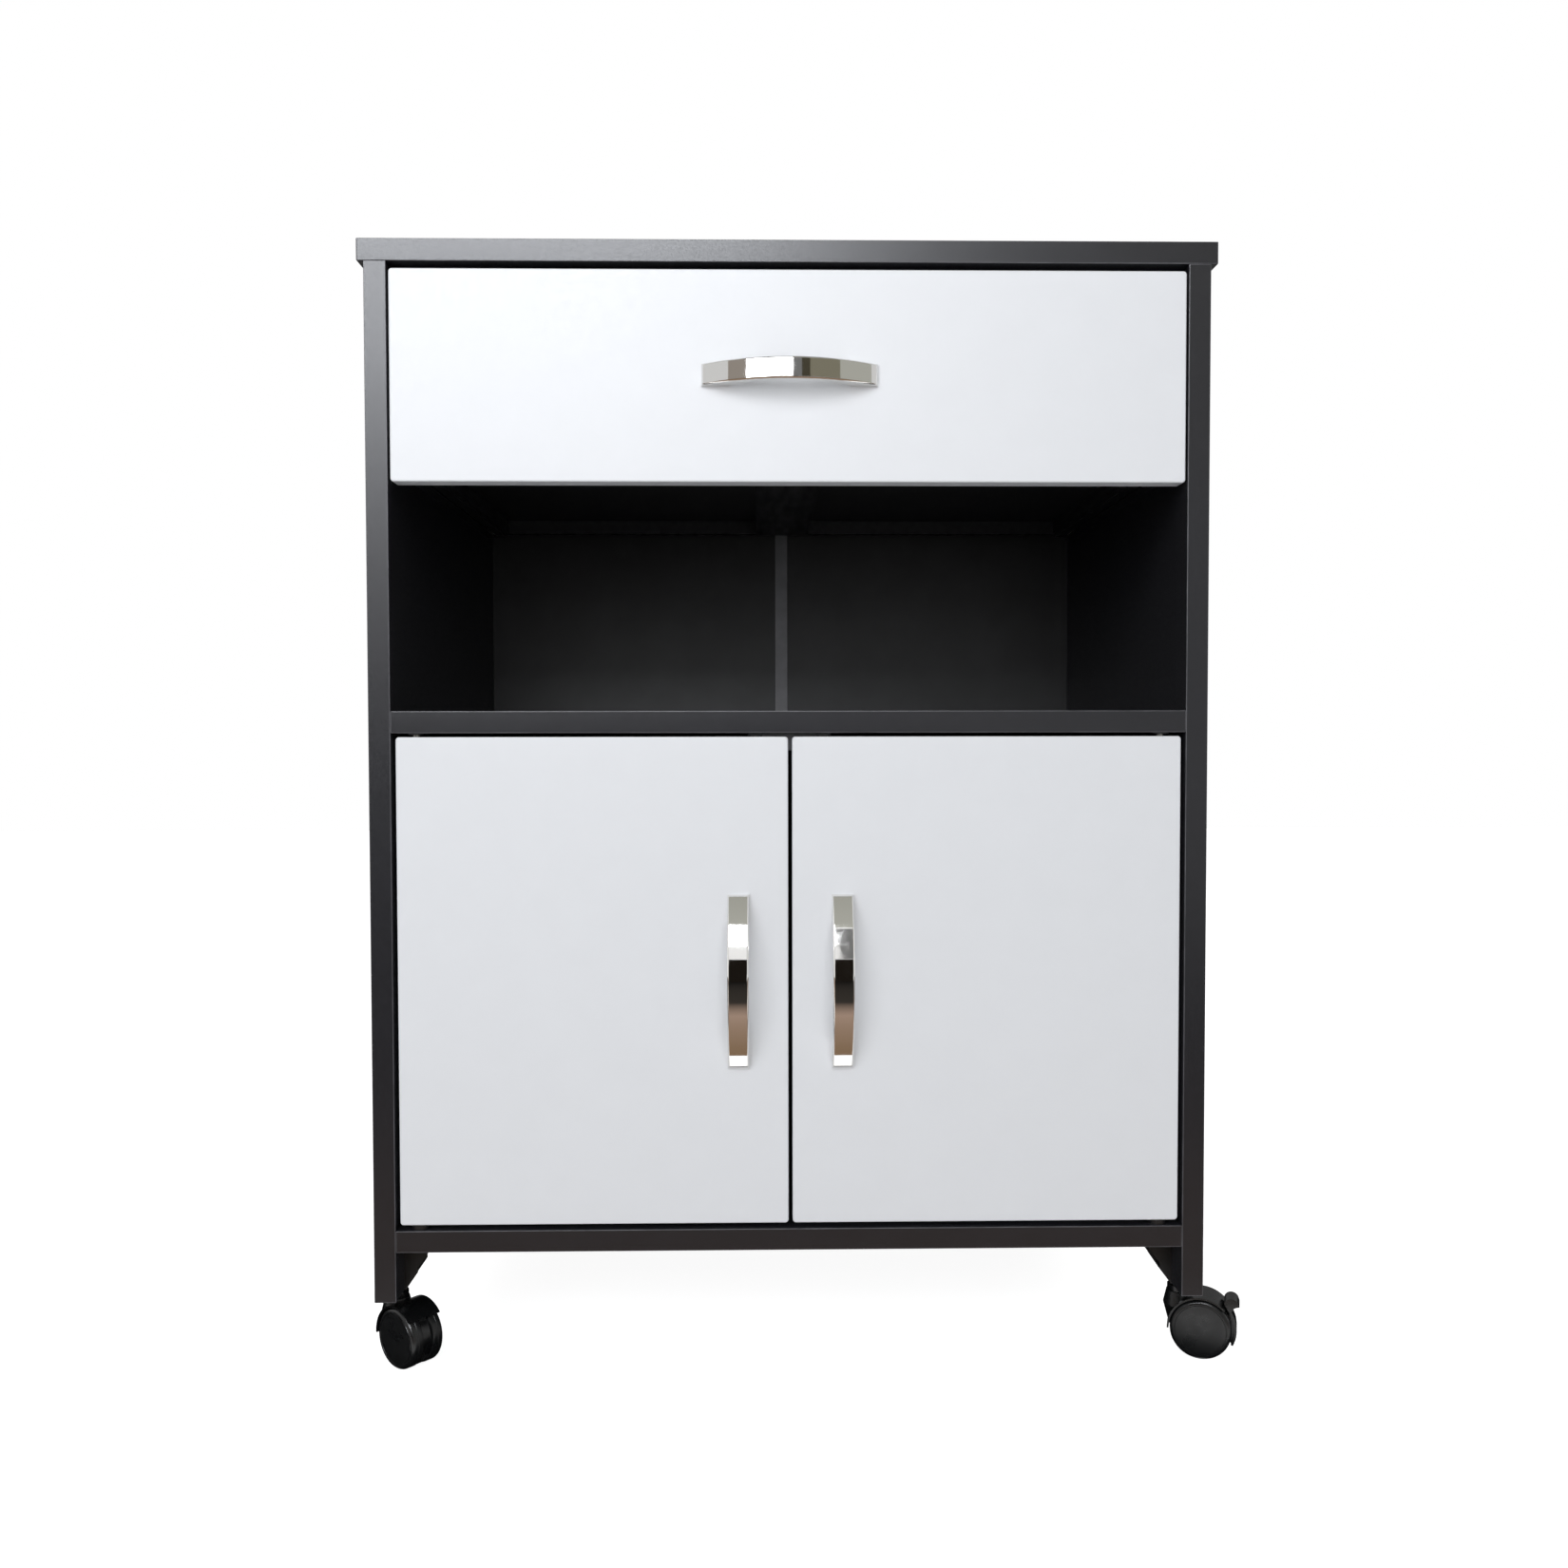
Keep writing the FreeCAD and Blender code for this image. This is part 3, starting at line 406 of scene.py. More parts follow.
def hardboard(printed, fibre, back_y):
    """Hardboard printed dark on its smooth face, with bare pressed fibre behind."""
    material, tree, shader, coords = shader_of("hardboard_printed_one_side", printed, 0.5)
    fleck = noise(tree, coords, 2.2, 6.0)
    place = add(tree, "SeparateXYZ", {"Vector": coords}).outputs["Y"]
    rear = add(tree, "Math", {0: place, 1: back_y}, operation="GREATER_THAN").outputs[0]
    spread = add(tree, "Mix", {"Factor": between(tree, fleck, 0.0, 1.0), "A": (*fibre, 1.0),
                               "B": (*[v * 0.55 for v in fibre], 1.0)}, data_type="RGBA")
    shade = add(tree, "Mix", {"Factor": between(tree, noise(tree, coords, 40.0, 2.0), 0.0, 1.0),
                              "A": (*printed, 1.0), "B": (*[v * 0.85 for v in printed], 1.0)},
                data_type="RGBA")
    both = add(tree, "Mix", {"Factor": rear, "A": shade.outputs["Result"],
                             "B": spread.outputs["Result"]}, data_type="RGBA")
    tree.links.new(both.outputs["Result"], shader.inputs["Base Color"])
    rough = add(tree, "MapRange", {"Value": rear, "To Min": 0.42, "To Max": 0.85})
    tree.links.new(rough.outputs["Result"], shader.inputs["Roughness"])
    weave = add(tree, "TexVoronoi", {"Vector": coords, "Scale": 1 / (1.6 * MM)})
    net = add(tree, "Math", {0: weave.outputs["Distance"], 1: rear}, operation="MULTIPLY")
    relief(tree, shader, net.outputs[0], 0.12, 0.6)
    return material


def moulded(name, base, roughness=0.35, grain_mm=0.8, depth_mm=0.02, **sockets):
    """Injection-moulded plastic: the tool's fine texture and slight flow marks."""
    material, tree, shader, coords = shader_of(name, base, roughness, **sockets)
    grain = noise(tree, coords, grain_mm)
    flow = noise(tree, coords, 14.0, 2.0)
    tint(tree, shader, between(tree, flow, 0.0, 1.0), base, 0.88)
    tree.links.new(between(tree, flow, roughness - 0.05, roughness + 0.06), shader.inputs["Roughness"])
    relief(tree, shader, grain, depth_mm, 0.4)
    return material


def chrome(base):
    """Bright chrome over polished zinc: mirror-like, with a trace of polishing waves."""
    material, tree, shader, coords = shader_of("chrome_polished", base, 0.04, Metallic=1.0)
    waves = noise(tree, coords, 16.0, 1.0)
    tree.links.new(between(tree, noise(tree, coords, 7.0, 5.0), 0.03, 0.07), shader.inputs["Roughness"])
    relief(tree, shader, waves, 0.06, 0.3)
    return material


def powder_coat(base):
    """Powder coat on pressed steel: an even semi-gloss skin with orange peel."""
    material, tree, shader, coords = shader_of("powder_coat_semi_gloss", base, 0.36)
    peel = noise(tree, coords, 0.7, 2.0)
    tint(tree, shader, between(tree, noise(tree, coords, 20.0), 0.0, 1.0), base, 0.88)
    tree.links.new(between(tree, peel, 0.3, 0.42), shader.inputs["Roughness"])
    relief(tree, shader, peel, 0.03, 0.5)
    return material


def zinc(base):
    """Bright zinc plate on turned or drawn steel: soft metal sheen, slightly clouded."""
    material, tree, shader, coords = shader_of("zinc_plate_bright", base, 0.3, Metallic=1.0)
    cloud = noise(tree, coords, 2.5, 4.0)
    tint(tree, shader, between(tree, cloud, 0.0, 1.0), base, 0.8)
    tree.links.new(between(tree, cloud, 0.24, 0.4), shader.inputs["Roughness"])
    relief(tree, shader, noise(tree, coords, 0.5), 0.01, 0.4)
    return material


def ferrite(base):
    """Sintered ferrite: dull dark grey with a fine grain."""
    material, tree, shader, coords = shader_of("ferrite_sintered", base, 0.6)
    grain = noise(tree, coords, 0.5)
    tint(tree, shader, between(tree, grain, 0.0, 1.0), base, 0.75)
    relief(tree, shader, grain, 0.03, 0.6)
    return material


FINISHES = {}


def finishes():
    """All the materials, made once from the scene's colours."""
    if FINISHES:
        return FINISHES
    shades = bpy.context.scene.stand_colours
    printed = linear("#323233")
    back_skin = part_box("back_panel_right")[1].y - 0.2 * MM
    FINISHES.update(
        melamine=melamine(shades.charcoal[:]),
        banding=edge_banding(shades.banding[:]),
        # The arris finish paints a highlight along the boards' broken edges.
        arris=arris_painted_highlight(shades.arris[:]),
        foil=pvc_foil(shades.white[:]),
        paper=paper_foil(shades.drawer[:]),
        hardboard=hardboard(printed, shades.fibre[:], back_skin),
        strip=moulded("pvc_strip_extruded", linear("#77777a"), 0.38),
        chrome=chrome(shades.chrome[:]),
        runner=powder_coat(shades.runner[:]),
        zinc=zinc(linear("#b9b8b2")),
        nylon=moulded("nylon_natural_moulded", linear("#dad8d0"), 0.4),
        hood=moulded("polypropylene_gloss_black", shades.caster[:], 0.24, 1.2, 0.01),
        wheel=moulded("nylon_satin_black", shades.wheel[:], 0.3, 1.2, 0.015),
        gusset=moulded("abs_satin_black", linear("#0c0c0d"), 0.42),
        bush=moulded("nylon_black_moulded", linear("#1c1c1e"), 0.4),
        cap=moulded("stick_on_cap_charcoal", linear("#414247"), 0.45),
        catch=moulded("abs_grey_moulded", linear("#8d8e90"), 0.4),
        ferrite=ferrite(linear("#3c3b3a")),
    )
    return FINISHES


# ---------------------------------------------------------------- carcass boards
def banded_board(name, node, ends_too=False):
    """A board with broken arrises, and edge banding with its glue line round the front edge."""
    sizes = bpy.context.scene.stand_sizes
    low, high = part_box(node)
    obj = block(name, low, high)
    open_mesh(obj)
    bevel(obj, sizes.arris, 2, lambda edge: True)
    cuts = [(1, low.y + sizes.band, 1)]
    if ends_too:
        cuts += [(0, low.x + sizes.band, 1), (0, high.x - sizes.band, -1)]
    for axis, place, inward in cuts:
        slice_at(axis, place)
        slice_at(axis, place + inward * sizes.band_seam)
    seams = [(axis, place + inward * sizes.band_seam / 2) for axis, place, inward in cuts]
    pick(obj, "faces", lambda face: any(abs(middle(face)[axis] - at) < sizes.band_seam / 3
                                        for axis, at in seams))
    bpy.ops.mesh.extrude_region_shrink_fatten(TRANSFORM_OT_shrink_fatten={"value": -SEAM_DEPTH})
    close_mesh()
    for _ in range(3):
        obj.data.materials.append(None)
    for face in obj.data.polygons:
        at, normal = face.center, face.normal
        band = at.y < low.y + sizes.band
        if ends_too:
            band = band or at.x < low.x + sizes.band or at.x > high.x - sizes.band
        slanted = max(abs(v) for v in normal) < 0.99
        # Front arrises and downward-facing arrises take the paler arris finish, a painted highlight along
        # those edges.
        arris_highlight = slanted and (at.y < low.y + sizes.arris or (normal.z < -0.3 and not ends_too))
        face.material_index = 2 if arris_highlight else int(band)
    return obj


def settle_banded(obj, body, slot, materials, *nodes):
    """Settle a piece whose faces already say which of its materials each one has."""
    for k, material in enumerate(materials):
        obj.data.materials[k] = material
    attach(obj, body)
    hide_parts(*nodes)


class STAND_OT_boards(bpy.types.Operator):
    """Model the five banded boards of the carcass"""

    bl_idname = "stand.boards"
    bl_label = "Carcass boards"

    def execute(self, context):
        made = finishes()
        for name, node in (("board_top", "top_panel"), ("board_side_left", "side_panel_left"),
                           ("board_side_right", "side_panel_right"), ("board_shelf", "middle_shelf"),
                           ("board_bottom", "bottom_panel")):
            obj = banded_board(name, node, ends_too=node == "top_panel")
            settle_banded(obj, "carcass", "charcoal_melamine",
                          (made["melamine"], made["banding"], made["arris"]), node)
        return {"FINISHED"}


# ---------------------------------------------------------------- white fronts
def white_front(name, node):
    """Fibreboard front in pressed foil: round corners, soft front rim, foil step at the back."""
    sizes = bpy.context.scene.stand_sizes
    low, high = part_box(node)
    obj = block(name, low, high)
    open_mesh(obj)
    bevel(obj, sizes.front_corner, 5, lambda edge: runs_along(edge, 1))
    bevel(obj, sizes.front_edge, 4, lambda edge: all(abs(v.co.y - low.y) < 1e-6 for v in edge.verts))
    bevel(obj, BACK_RIM, 2, lambda edge: all(abs(v.co.y - high.y) < 1e-6 for v in edge.verts))
    pick(obj, "faces", lambda face: abs(middle(face).y - high.y) < 1e-6 and face.normal.y > 0.9)
    bpy.ops.mesh.inset(thickness=FOIL_BORDER, depth=0)
    bpy.ops.mesh.inset(thickness=FOIL_STEP, depth=-FOIL_STEP)
    # Clear of the round corners, the broad faces stay plain rectangles.
    for axis in (0, 2):
        slice_at(axis, low[axis] + CORNER_CLEAR)
        slice_at(axis, high[axis] - CORNER_CLEAR)
    close_mesh()
    return obj


class STAND_OT_fronts(bpy.types.Operator):
    """Model the drawer front and the two doors"""

    bl_idname = "stand.fronts"
    bl_label = "White fronts"

    def execute(self, context):
        foil = finishes()["foil"]
        for name, node, body in (("front_drawer", "drawer_front", "drawer"),
                                 ("front_door_left", "door_left", "door_left"),
                                 ("front_door_right", "door_right", "door_right")):
            settle(white_front(name, node), body, "white_foil", foil, node)
        return {"FINISHED"}


# ---------------------------------------------------------------- bow handles
def bow_handle():
    """The bow along X, its feet on the plane y = 0, standing out towards -Y."""
    low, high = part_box("drawer_handle")
    half = (high.x - low.x) / 2
    reach = high.y - low.y
    half_width = (high.z - low.z) / 2
    foot, strap, end = 19.0 * MM, 3.6 * MM, 3.2 * MM
    inner_half = half - foot

    def arc(half_chord, rise):
        radius = (half_chord ** 2 + rise ** 2) / (2 * rise)
        return radius, math.asin(half_chord / radius)

    outer_radius, _ = arc(half, reach - end)
    inner_radius, inner_angle = arc(inner_half, reach - strap)
    obj = block("bow_handle", (-half, -end, -half_width), (half, 0, half_width))
    open_mesh(obj)
    edge = bpy.context.scene.stand_sizes.bow_edge
    bevel(obj, edge, 1, lambda e: all(abs(v.co.y + end) < SAME_PLACE for v in e.verts))
    bevel(obj, 0.25 * MM, 2, lambda e: all(v.co.y < -end / 2 for v in e.verts))
    steps = 34
    stations = [inner_radius * math.sin(inner_angle * (2 * k / steps - 1)) for k in range(steps + 1)]
    stations += [side * (inner_half + foot * share) for side in (-1, 1) for share in (0.3, 0.6, 0.85)]
    for x in stations:
        slice_at(0, x)
    mesh = bmesh.from_edit_mesh(obj.data)
    places = sorted({round(v.co.x, 7) for v in mesh.verts})
    for x in places:
        chord = min(abs(x), half)
        outer = reach - outer_radius + math.sqrt(outer_radius ** 2 - chord ** 2) - end
        pick(obj, "verts", lambda v: abs(v.co.x - x) < SAME_PLACE and v.co.y < -end / 2)
        bpy.ops.transform.translate(value=(0, -outer, 0))
        if abs(x) < inner_half:
            inner = reach - strap - inner_radius + math.sqrt(inner_radius ** 2 - x ** 2)
            pick(obj, "verts", lambda v: abs(v.co.x - x) < SAME_PLACE and v.co.y >= -0.45 * MM)
            bpy.ops.transform.translate(value=(0, -inner, 0))
    close_mesh(40)
    return obj


class STAND_OT_handles(bpy.types.Operator):
    """Model one bow handle and set its copies on the drawer and the doors"""

    bl_idname = "stand.handles"
    bl_label = "Bow handles"

    def execute(self, context):
        bow = bow_handle()
        plating = finishes()["chrome"]
        upright = Matrix.Rotation(math.radians(90), 4, "Y")
        places = (
            ("bow_drawer", "drawer_handle", "drawer", 0, DRAWER_HANDLE_Z, Matrix()),
            ("bow_door_left", "door_handle_left", "door_left", -DOOR_HANDLE_X, DOOR_HANDLE_Z, upright),
            ("bow_door_right", "door_handle_right", "door_right", DOOR_HANDLE_X, DOOR_HANDLE_Z, upright),
        )
        for name, node, body, x, z, turn in places:
            piece = copy_to(bow, name, Matrix.Translation(Vector((x, FRONT_Y, z)) * MM) @ turn)
            settle(piece, body, "chrome_plate", plating, node)
        discard(bow)
        return {"FINISHED"}


# ---------------------------------------------------------------- casters
def wheel_outline():
    """Outline of a wheel in millimetres from the caster's middle plane outwards."""
    radius, inner, outer, blind = 22.5, 4.1, 13.7, 10.9
    edge = bpy.context.scene.stand_sizes.tread_edge / MM
    outline = [(3.05, blind), (3.05, inner), (8.0, inner), (8.4, inner + 0.4), (18.5, inner + 0.4),
               (19.0, inner), (radius - 0.8, inner), (radius - 0.25, inner + 0.25), (radius, inner + 0.9)]
    outline += [(radius, 8.2), (radius - 0.12, 8.35), (radius - 0.12, 8.55), (radius, 8.7)]
    for k in range(7):
        turn = math.radians(15 * k)
        outline.append((radius - edge + edge * math.cos(turn), outer - edge + edge * math.sin(turn)))
    outline += [(19.1, outer - 0.05), (18.9, outer - 0.4), (18.6, outer - 0.4), (18.4, outer - 0.1),
                (12.0, outer - 0.25), (6.0, outer - 0.32), (1.2, outer - 0.34)]
    return outline


def caster_frame(swivel, axle):
    """Matrix of a caster's own frame: its origin on the axle, +X away from the swivel, +Z up."""
    trail = Vector((axle.x - swivel.x, axle.y - swivel.y, 0)).normalized()
    up = Vector((0, 0, 1))
    turn = Matrix((trail, up.cross(trail), up)).transposed().to_4x4()
    return Matrix.Translation(axle) @ turn


def rib(name, local, inner, outer, start, stop, half):
    """A curved rib between the wheels, spun about the axle between two angles up from +X."""
    obj = block(name, (inner * MM, -half * MM, -0.05 * MM), (outer * MM, half * MM, 0.05 * MM))
    # The top face alone is the rib's profile.
    open_mesh(obj)
    pick(obj, "faces", lambda face: face.normal.z < 0.9)
    bpy.ops.mesh.delete(type="FACE")
    bpy.ops.object.mode_set(mode="OBJECT")
    obj.data.transform(Matrix.Rotation(-math.radians(start), 4, "Y"))
    open_mesh(obj)
    bpy.ops.mesh.select_mode(type="FACE")
    bpy.ops.mesh.select_all(action="SELECT")
    sweep = stop - start
    bpy.ops.mesh.spin(steps=max(6, round(sweep / RIB_STEP)), angle=math.radians(sweep),
                      center=(0, 0, 0), axis=(0, 1, 0))
    close_mesh()
    obj.data.transform(local)
    return obj


class STAND_OT_casters(bpy.types.Operator):
    """Turn the eight wheels and finish the hoods, levers, stems and sleeves"""

    bl_idname = "stand.casters"
    bl_label = "Casters"

    def execute(self, context):
        made = finishes()
        wheel = turned("wheel", wheel_outline(), 72)
        joints = {joint["child"]: joint for joint in frame["joints"]}
        for where in CASTERS:
            hood = "caster_hood_" + where
            swivel = Vector(joints["caster_" + where]["pos_m"])
            axle = Vector(joints["wheel_a_" + where]["pos_m"])
            local = caster_frame(swivel, axle)
            drum = joined("hood_" + where, [welded("hood", hood), rib("web", local, *HOOD_RIB)])
            settle(drum, "caster_" + where, "caster_plastic", made["hood"], hood)
            for letter in "ab":
                body = f"wheel_{letter}_{where}"
                node = "caster_" + body
                centre = Vector(joints[body]["pos_m"])
                low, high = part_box(node)
                outward = Vector(joints[body]["axis"])
                if outward.dot((low + high) / 2 - centre) < 0:
                    outward.negate()
                piece = copy_to(wheel, body + "_turned", facing(centre / MM, outward))
                settle(piece, body, "wheel_plastic", made["wheel"], node)
            lever = "brake_lever_" + where
            if lever in frame["nodes"]:
                shoe = joined("lever_" + where, [welded("lever", lever), rib("stiffener", local, *LEVER_RIB)])
                settle(shoe, lever, "caster_plastic", made["hood"], lever)
        discard(wheel)
        settle(welded("stems", "caster_stems"), "carcass", "zinc_steel", made["zinc"], "caster_stems")
        settle(welded("sleeves", "caster_sleeves"), "carcass", "bush_plastic", made["bush"], "caster_sleeves")
        return {"FINISHED"}


# ---------------------------------------------------------------- screws
def cross_screw(name, shank, head, head_height, reach, flush):
    """A screw along Z, its head's seat at z = 0 and its tip down, with a cross recess."""
    if flush:
        outline = [(0.25, -reach), (shank, -reach + 2 * shank), (shank, -0.8 * head_height),
                   (head - 0.25, -0.25), (head, -0.08), (head, 0.0), (0.75 * head, 0.0)]
        top = 0.0
    else:
        outline = [(0.25, -reach), (shank, -reach + 2 * shank), (shank, 0.0), (head - 0.1, 0.0),
                   (head, 0.15), (head, 0.35 * head_height), (0.93 * head, 0.62 * head_height),
                   (0.8 * head, 0.84 * head_height), (0.55 * head, 0.97 * head_height),
                   (0.45 * head, head_height)]
        top = head_height
    obj = turned(name, outline, 24)
    arm, slot, depth = 0.6 * head, 0.26 * head, 0.6 * max(head_height, 1.2)
    for along, across in ((arm, slot / 2), (slot / 2, arm)):
        cutter = block("cutter", (-along * MM, -across * MM, (top - depth) * MM),
                       (along * MM, across * MM, (top + 1) * MM))
        open_mesh(cutter)
        pick(cutter, "faces", lambda face: face.normal.z < -0.9)
        bpy.ops.transform.resize(value=(0.55, 0.55, 1), center_override=(0, 0, (top - depth) * MM))
        bpy.ops.object.mode_set(mode="OBJECT")
        work_on(obj)
        cut = obj.modifiers.new("recess", "BOOLEAN")
        cut.operation, cut.solver, cut.object = "DIFFERENCE", "EXACT", cutter
        bpy.ops.object.modifier_apply(modifier=cut.name)
        discard(cutter)
    return obj


def mirrored(places):
    """Places and directions, and the same on the other side of x = 0."""
    return places + [((-x, y, z), (-a, b, c)) for (x, y, z), (a, b, c) in places]


def set_screws(name, screw, places):
    """Copies of a screw whose head looks along each direction, each turned a little more."""
    copies = []
    for k, (at, towards) in enumerate(places):
        spin = Matrix.Rotation(math.radians(37 * k % 90), 4, "Z")
        copies.append(copy_to(screw, f"{name}_{k}", facing(at, towards) @ spin))
    return copies


def runner_places():
    """Screw places of runners, gussets and catch, from the frame's own boxes."""
    channel_low, channel_high = (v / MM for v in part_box("runner_channel_right"))
    reach = channel_high.y - channel_low.y
    z = (channel_low.z + channel_high.z) / 2
    web = channel_high.x - 1.2
    channel = [((web, channel_low.y + reach * share, z), (-1, 0, 0)) for share in (0.2, 0.55, 0.93)]
    gusset_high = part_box("foot_gussets")[1] / MM
    middle_y = (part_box("side_panel_right")[0].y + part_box("side_panel_right")[1].y) / 2 / MM
    brace_y = FRONT_Y + 25.0 + 17.0
    brace = []
    for y in (brace_y, 2 * middle_y - brace_y):
        brace.append(((gusset_high.x - 3.0, y, gusset_high.z - 22.2), (-1, 0, 0)))
        brace.append(((gusset_high.x - 15.0, y, gusset_high.z - 3.0), (0, 0, -1)))
    catch_low, catch_high = (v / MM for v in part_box("catch_body"))
    ear = [((catch_high.x - 5.5, (catch_low.y + catch_high.y) / 2, catch_high.z - 2.0), (0, 0, -1))]
    return mirrored(channel) + mirrored(brace) + mirrored(ear)


class STAND_OT_screws(bpy.types.Operator):
    """Model the cross-head screws and set them where the frame has them"""

    bl_idname = "stand.screws"
    bl_label = "Screws"

    def execute(self, context):
        made = finishes()
        pan = cross_screw("pan_screw", 1.7, 3.4, 1.6, 11.0, False)
        machine = cross_screw("machine_screw", 2.0, 3.8, 1.8, 22.0, False)
        sunk = cross_screw("sunk_screw", 2.0, 3.8, 2.4, 30.0, True)
        small = cross_screw("small_sunk_screw", 1.7, 3.4, 1.0, 10.0, True)
        side_low, side_high = (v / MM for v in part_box("drawer_side_right"))
        rail_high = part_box("drawer_rail_right")[1] / MM
        rear = side_high.y - 6.0
        levels = [side_low.z + 120.0 * share for share in (0.3, 0.8)]
        span = side_high.y - BEHIND_FRONT
        rail_z = (side_low.z + rail_high.z - 1.2) / 2
        drawer = set_screws("drawer", sunk, mirrored([((side_high.x, rear, z), (1, 0, 0)) for z in levels])
                            + [((0, side_high.y, side_low.z + 6.0), (0, 1, 0))])
        drawer += set_screws("rail", pan, mirrored([((side_high.x + 1.2, BEHIND_FRONT + span * share, rail_z),
                                                     (1, 0, 0)) for share in (0.25, 0.75)]))
        holes = (-HANDLE_HOLES / 2, HANDLE_HOLES / 2)
        drawer += set_screws("bow", machine, [((u, BEHIND_FRONT, DRAWER_HANDLE_Z), (0, 1, 0)) for u in holes])
        settle(joined("screws_drawer", drawer), "drawer", "zinc_steel", made["zinc"], "drawer_screws")
        strike = [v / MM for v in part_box("door_strike_right")]
        strike_at = Vector((strike[1].x - 4.0, strike[1].y, (strike[0].z + strike[1].z) / 2))
        for side, sign in (("left", -1), ("right", 1)):
            door = set_screws("bow", machine, [((sign * DOOR_HANDLE_X, BEHIND_FRONT, DOOR_HANDLE_Z + u),
                                                (0, 1, 0)) for u in holes])
            door += set_screws("strike", small, [((sign * strike_at.x, strike_at.y, strike_at.z), (0, 1, 0))])
            settle(joined("screws_door_" + side, door), "door_" + side, "zinc_steel", made["zinc"],
                   "door_screws_" + side)
        wood = set_screws("wood", pan, runner_places())
        settle(joined("screws_carcass", wood), "carcass", "zinc_steel", made["zinc"], "wood_screws")
        for screw in (pan, machine, sunk, small):
            discard(screw)
        return {"FINISHED"}


# ---------------------------------------------------------------- what the frame already shapes
WELDED = (
    ("runner_left", "runner_channel_left", "carcass", "runner_steel", "runner"),
    ("runner_right", "runner_channel_right", "carcass", "runner_steel", "runner"),
    ("rail_left", "drawer_rail_left", "drawer", "runner_steel", "runner"),
    ("rail_right", "drawer_rail_right", "drawer", "runner_steel", "runner"),
    ("roller_carcass_left", "cabinet_roller_left", "cabinet_roller_left", "nylon", "nylon"),
    ("roller_carcass_right", "cabinet_roller_right", "cabinet_roller_right", "nylon", "nylon"),
    ("roller_drawer_left", "drawer_roller_left", "drawer_roller_left", "nylon", "nylon"),
    ("roller_drawer_right", "drawer_roller_right", "drawer_roller_right", "nylon", "nylon"),
    ("gussets", "foot_gussets", "carcass", "gusset_plastic", "gusset"),
    ("bushes", "pivot_bushes", "carcass", "bush_plastic", "bush"),
    ("catch", "catch_body", "carcass", "catch_plastic", "catch"),
    ("caps", "screw_caps", "carcass", "cap_plastic", "cap"),
    ("cams_carcass", "cam_fittings", "carcass", "zinc_steel", "zinc"),
    ("cams_drawer", "drawer_cam_fittings", "drawer", "zinc_steel", "zinc"),
    ("nails", "back_nails", "carcass", "zinc_steel", "zinc"),
    ("pins_left", "door_pivot_pins_left", "door_left", "zinc_steel", "zinc"),
    ("pins_right", "door_pivot_pins_right", "door_right", "zinc_steel", "zinc"),
)
AS_THEY_ARE = {
    "back_panel_left": "hardboard", "back_panel_right": "hardboard", "back_joint_strip": "strip",
    "drawer_side_left": "paper", "drawer_side_right": "paper", "drawer_back": "paper",
    "drawer_batten": "paper", "drawer_bottom": "hardboard", "confirmat_screws": "zinc",
    "catch_magnets": "ferrite", "door_strike_left": "zinc", "door_strike_right": "zinc",
}


class STAND_OT_fittings(bpy.types.Operator):
    """Smooth the frame's round fittings and give every other node its finish"""

    bl_idname = "stand.fittings"
    bl_label = "Fittings"

    def execute(self, context):
        made = finishes()
        for name, node, body, slot, finish in WELDED:
            settle(welded(name, node), body, slot, made[finish], node)
        for node, finish in AS_THEY_ARE.items():
            data = frame["nodes"][node].data
            data.materials.clear()
            data.materials.append(made[finish])
        return {"FINISHED"}


# ---------------------------------------------------------------- stage
# What the chrome and the gloss see of a plain room, as glossy-only cards. All places are in metres.
# Walls: name, bearings it spans in degrees to the right of straight ahead, low, high, shade.
WALL_FROM, WALL_RADIUS = Vector((0, -0.22, 0)), 3.0
WALLS = (
    ("card_left_white", -112, -80, 0.0, 2.7, "#ffffff"),
    ("card_left_wall", -80, -54, 0.0, 2.7, "#d8d8d8"),
    ("card_left_door", -54, -34, 0.0, 2.7, "#989088"),
    ("card_low_left", -34, -12, 0.0, 0.72, "#1c1814"),
    ("card_low_ahead", -12, 8, 0.0, 0.98, "#1c1814"),
    ("card_low_right", 8, 44, 0.3, 1.34, "#a0a0a0"),
    ("card_wall_grey", 4, 11, 1.0, 2.7, "#787878"),
    ("card_frame_dark", 11, 18, 1.34, 2.7, "#484438"),
    ("card_wall_olive", 18, 44, 1.34, 2.7, "#807c6c"),
    ("card_right_wall", 44, 73, 0.0, 2.7, "#b0b0a8"),
    ("card_right_pale", 73, 82, 0.0, 2.7, "#d8d8d8"),
    ("card_right_white", 82, 112, 0.0, 2.7, "#ffffff"),
    ("card_behind", 110, 250, 0.0, 2.7, "#888888"),
)
# Level cards: name, height, nearest and farthest place along Y, shades at those places.
LEVEL_WIDTH = 6.0
LEVELS = (
    ("card_boards_near", 0.002, -0.27, -0.6, "#887058", "#a89080"),
    ("card_boards_edge", 0.002, -0.6, -0.86, "#a89080", "#383430"),
    ("card_boards_far", 0.002, -0.86, -3.2, "#383430", "#101010"),
    # Under the stand the floor card is near black: the stand's shadow on the floor, a painted shade seen only
    # in the gloss.
    ("card_boards_under", 0.002, 2.6, -0.21, "#141414", "#141414"),
    ("card_ceiling", 2.75, 3.0, -3.15, "#888880", "#b8b8b0"),
)
# Upright cards straight ahead: name, centre, width, height, shade, strength.
UPRIGHTS = (
    ("card_window", (-0.69, -2.3, 1.77), 1.62, 1.02, "#f7faff", 13.0),
    ("card_window_post", (-0.64, -2.27, 1.77), 0.04, 1.02, "#847f80", 1.0),
)
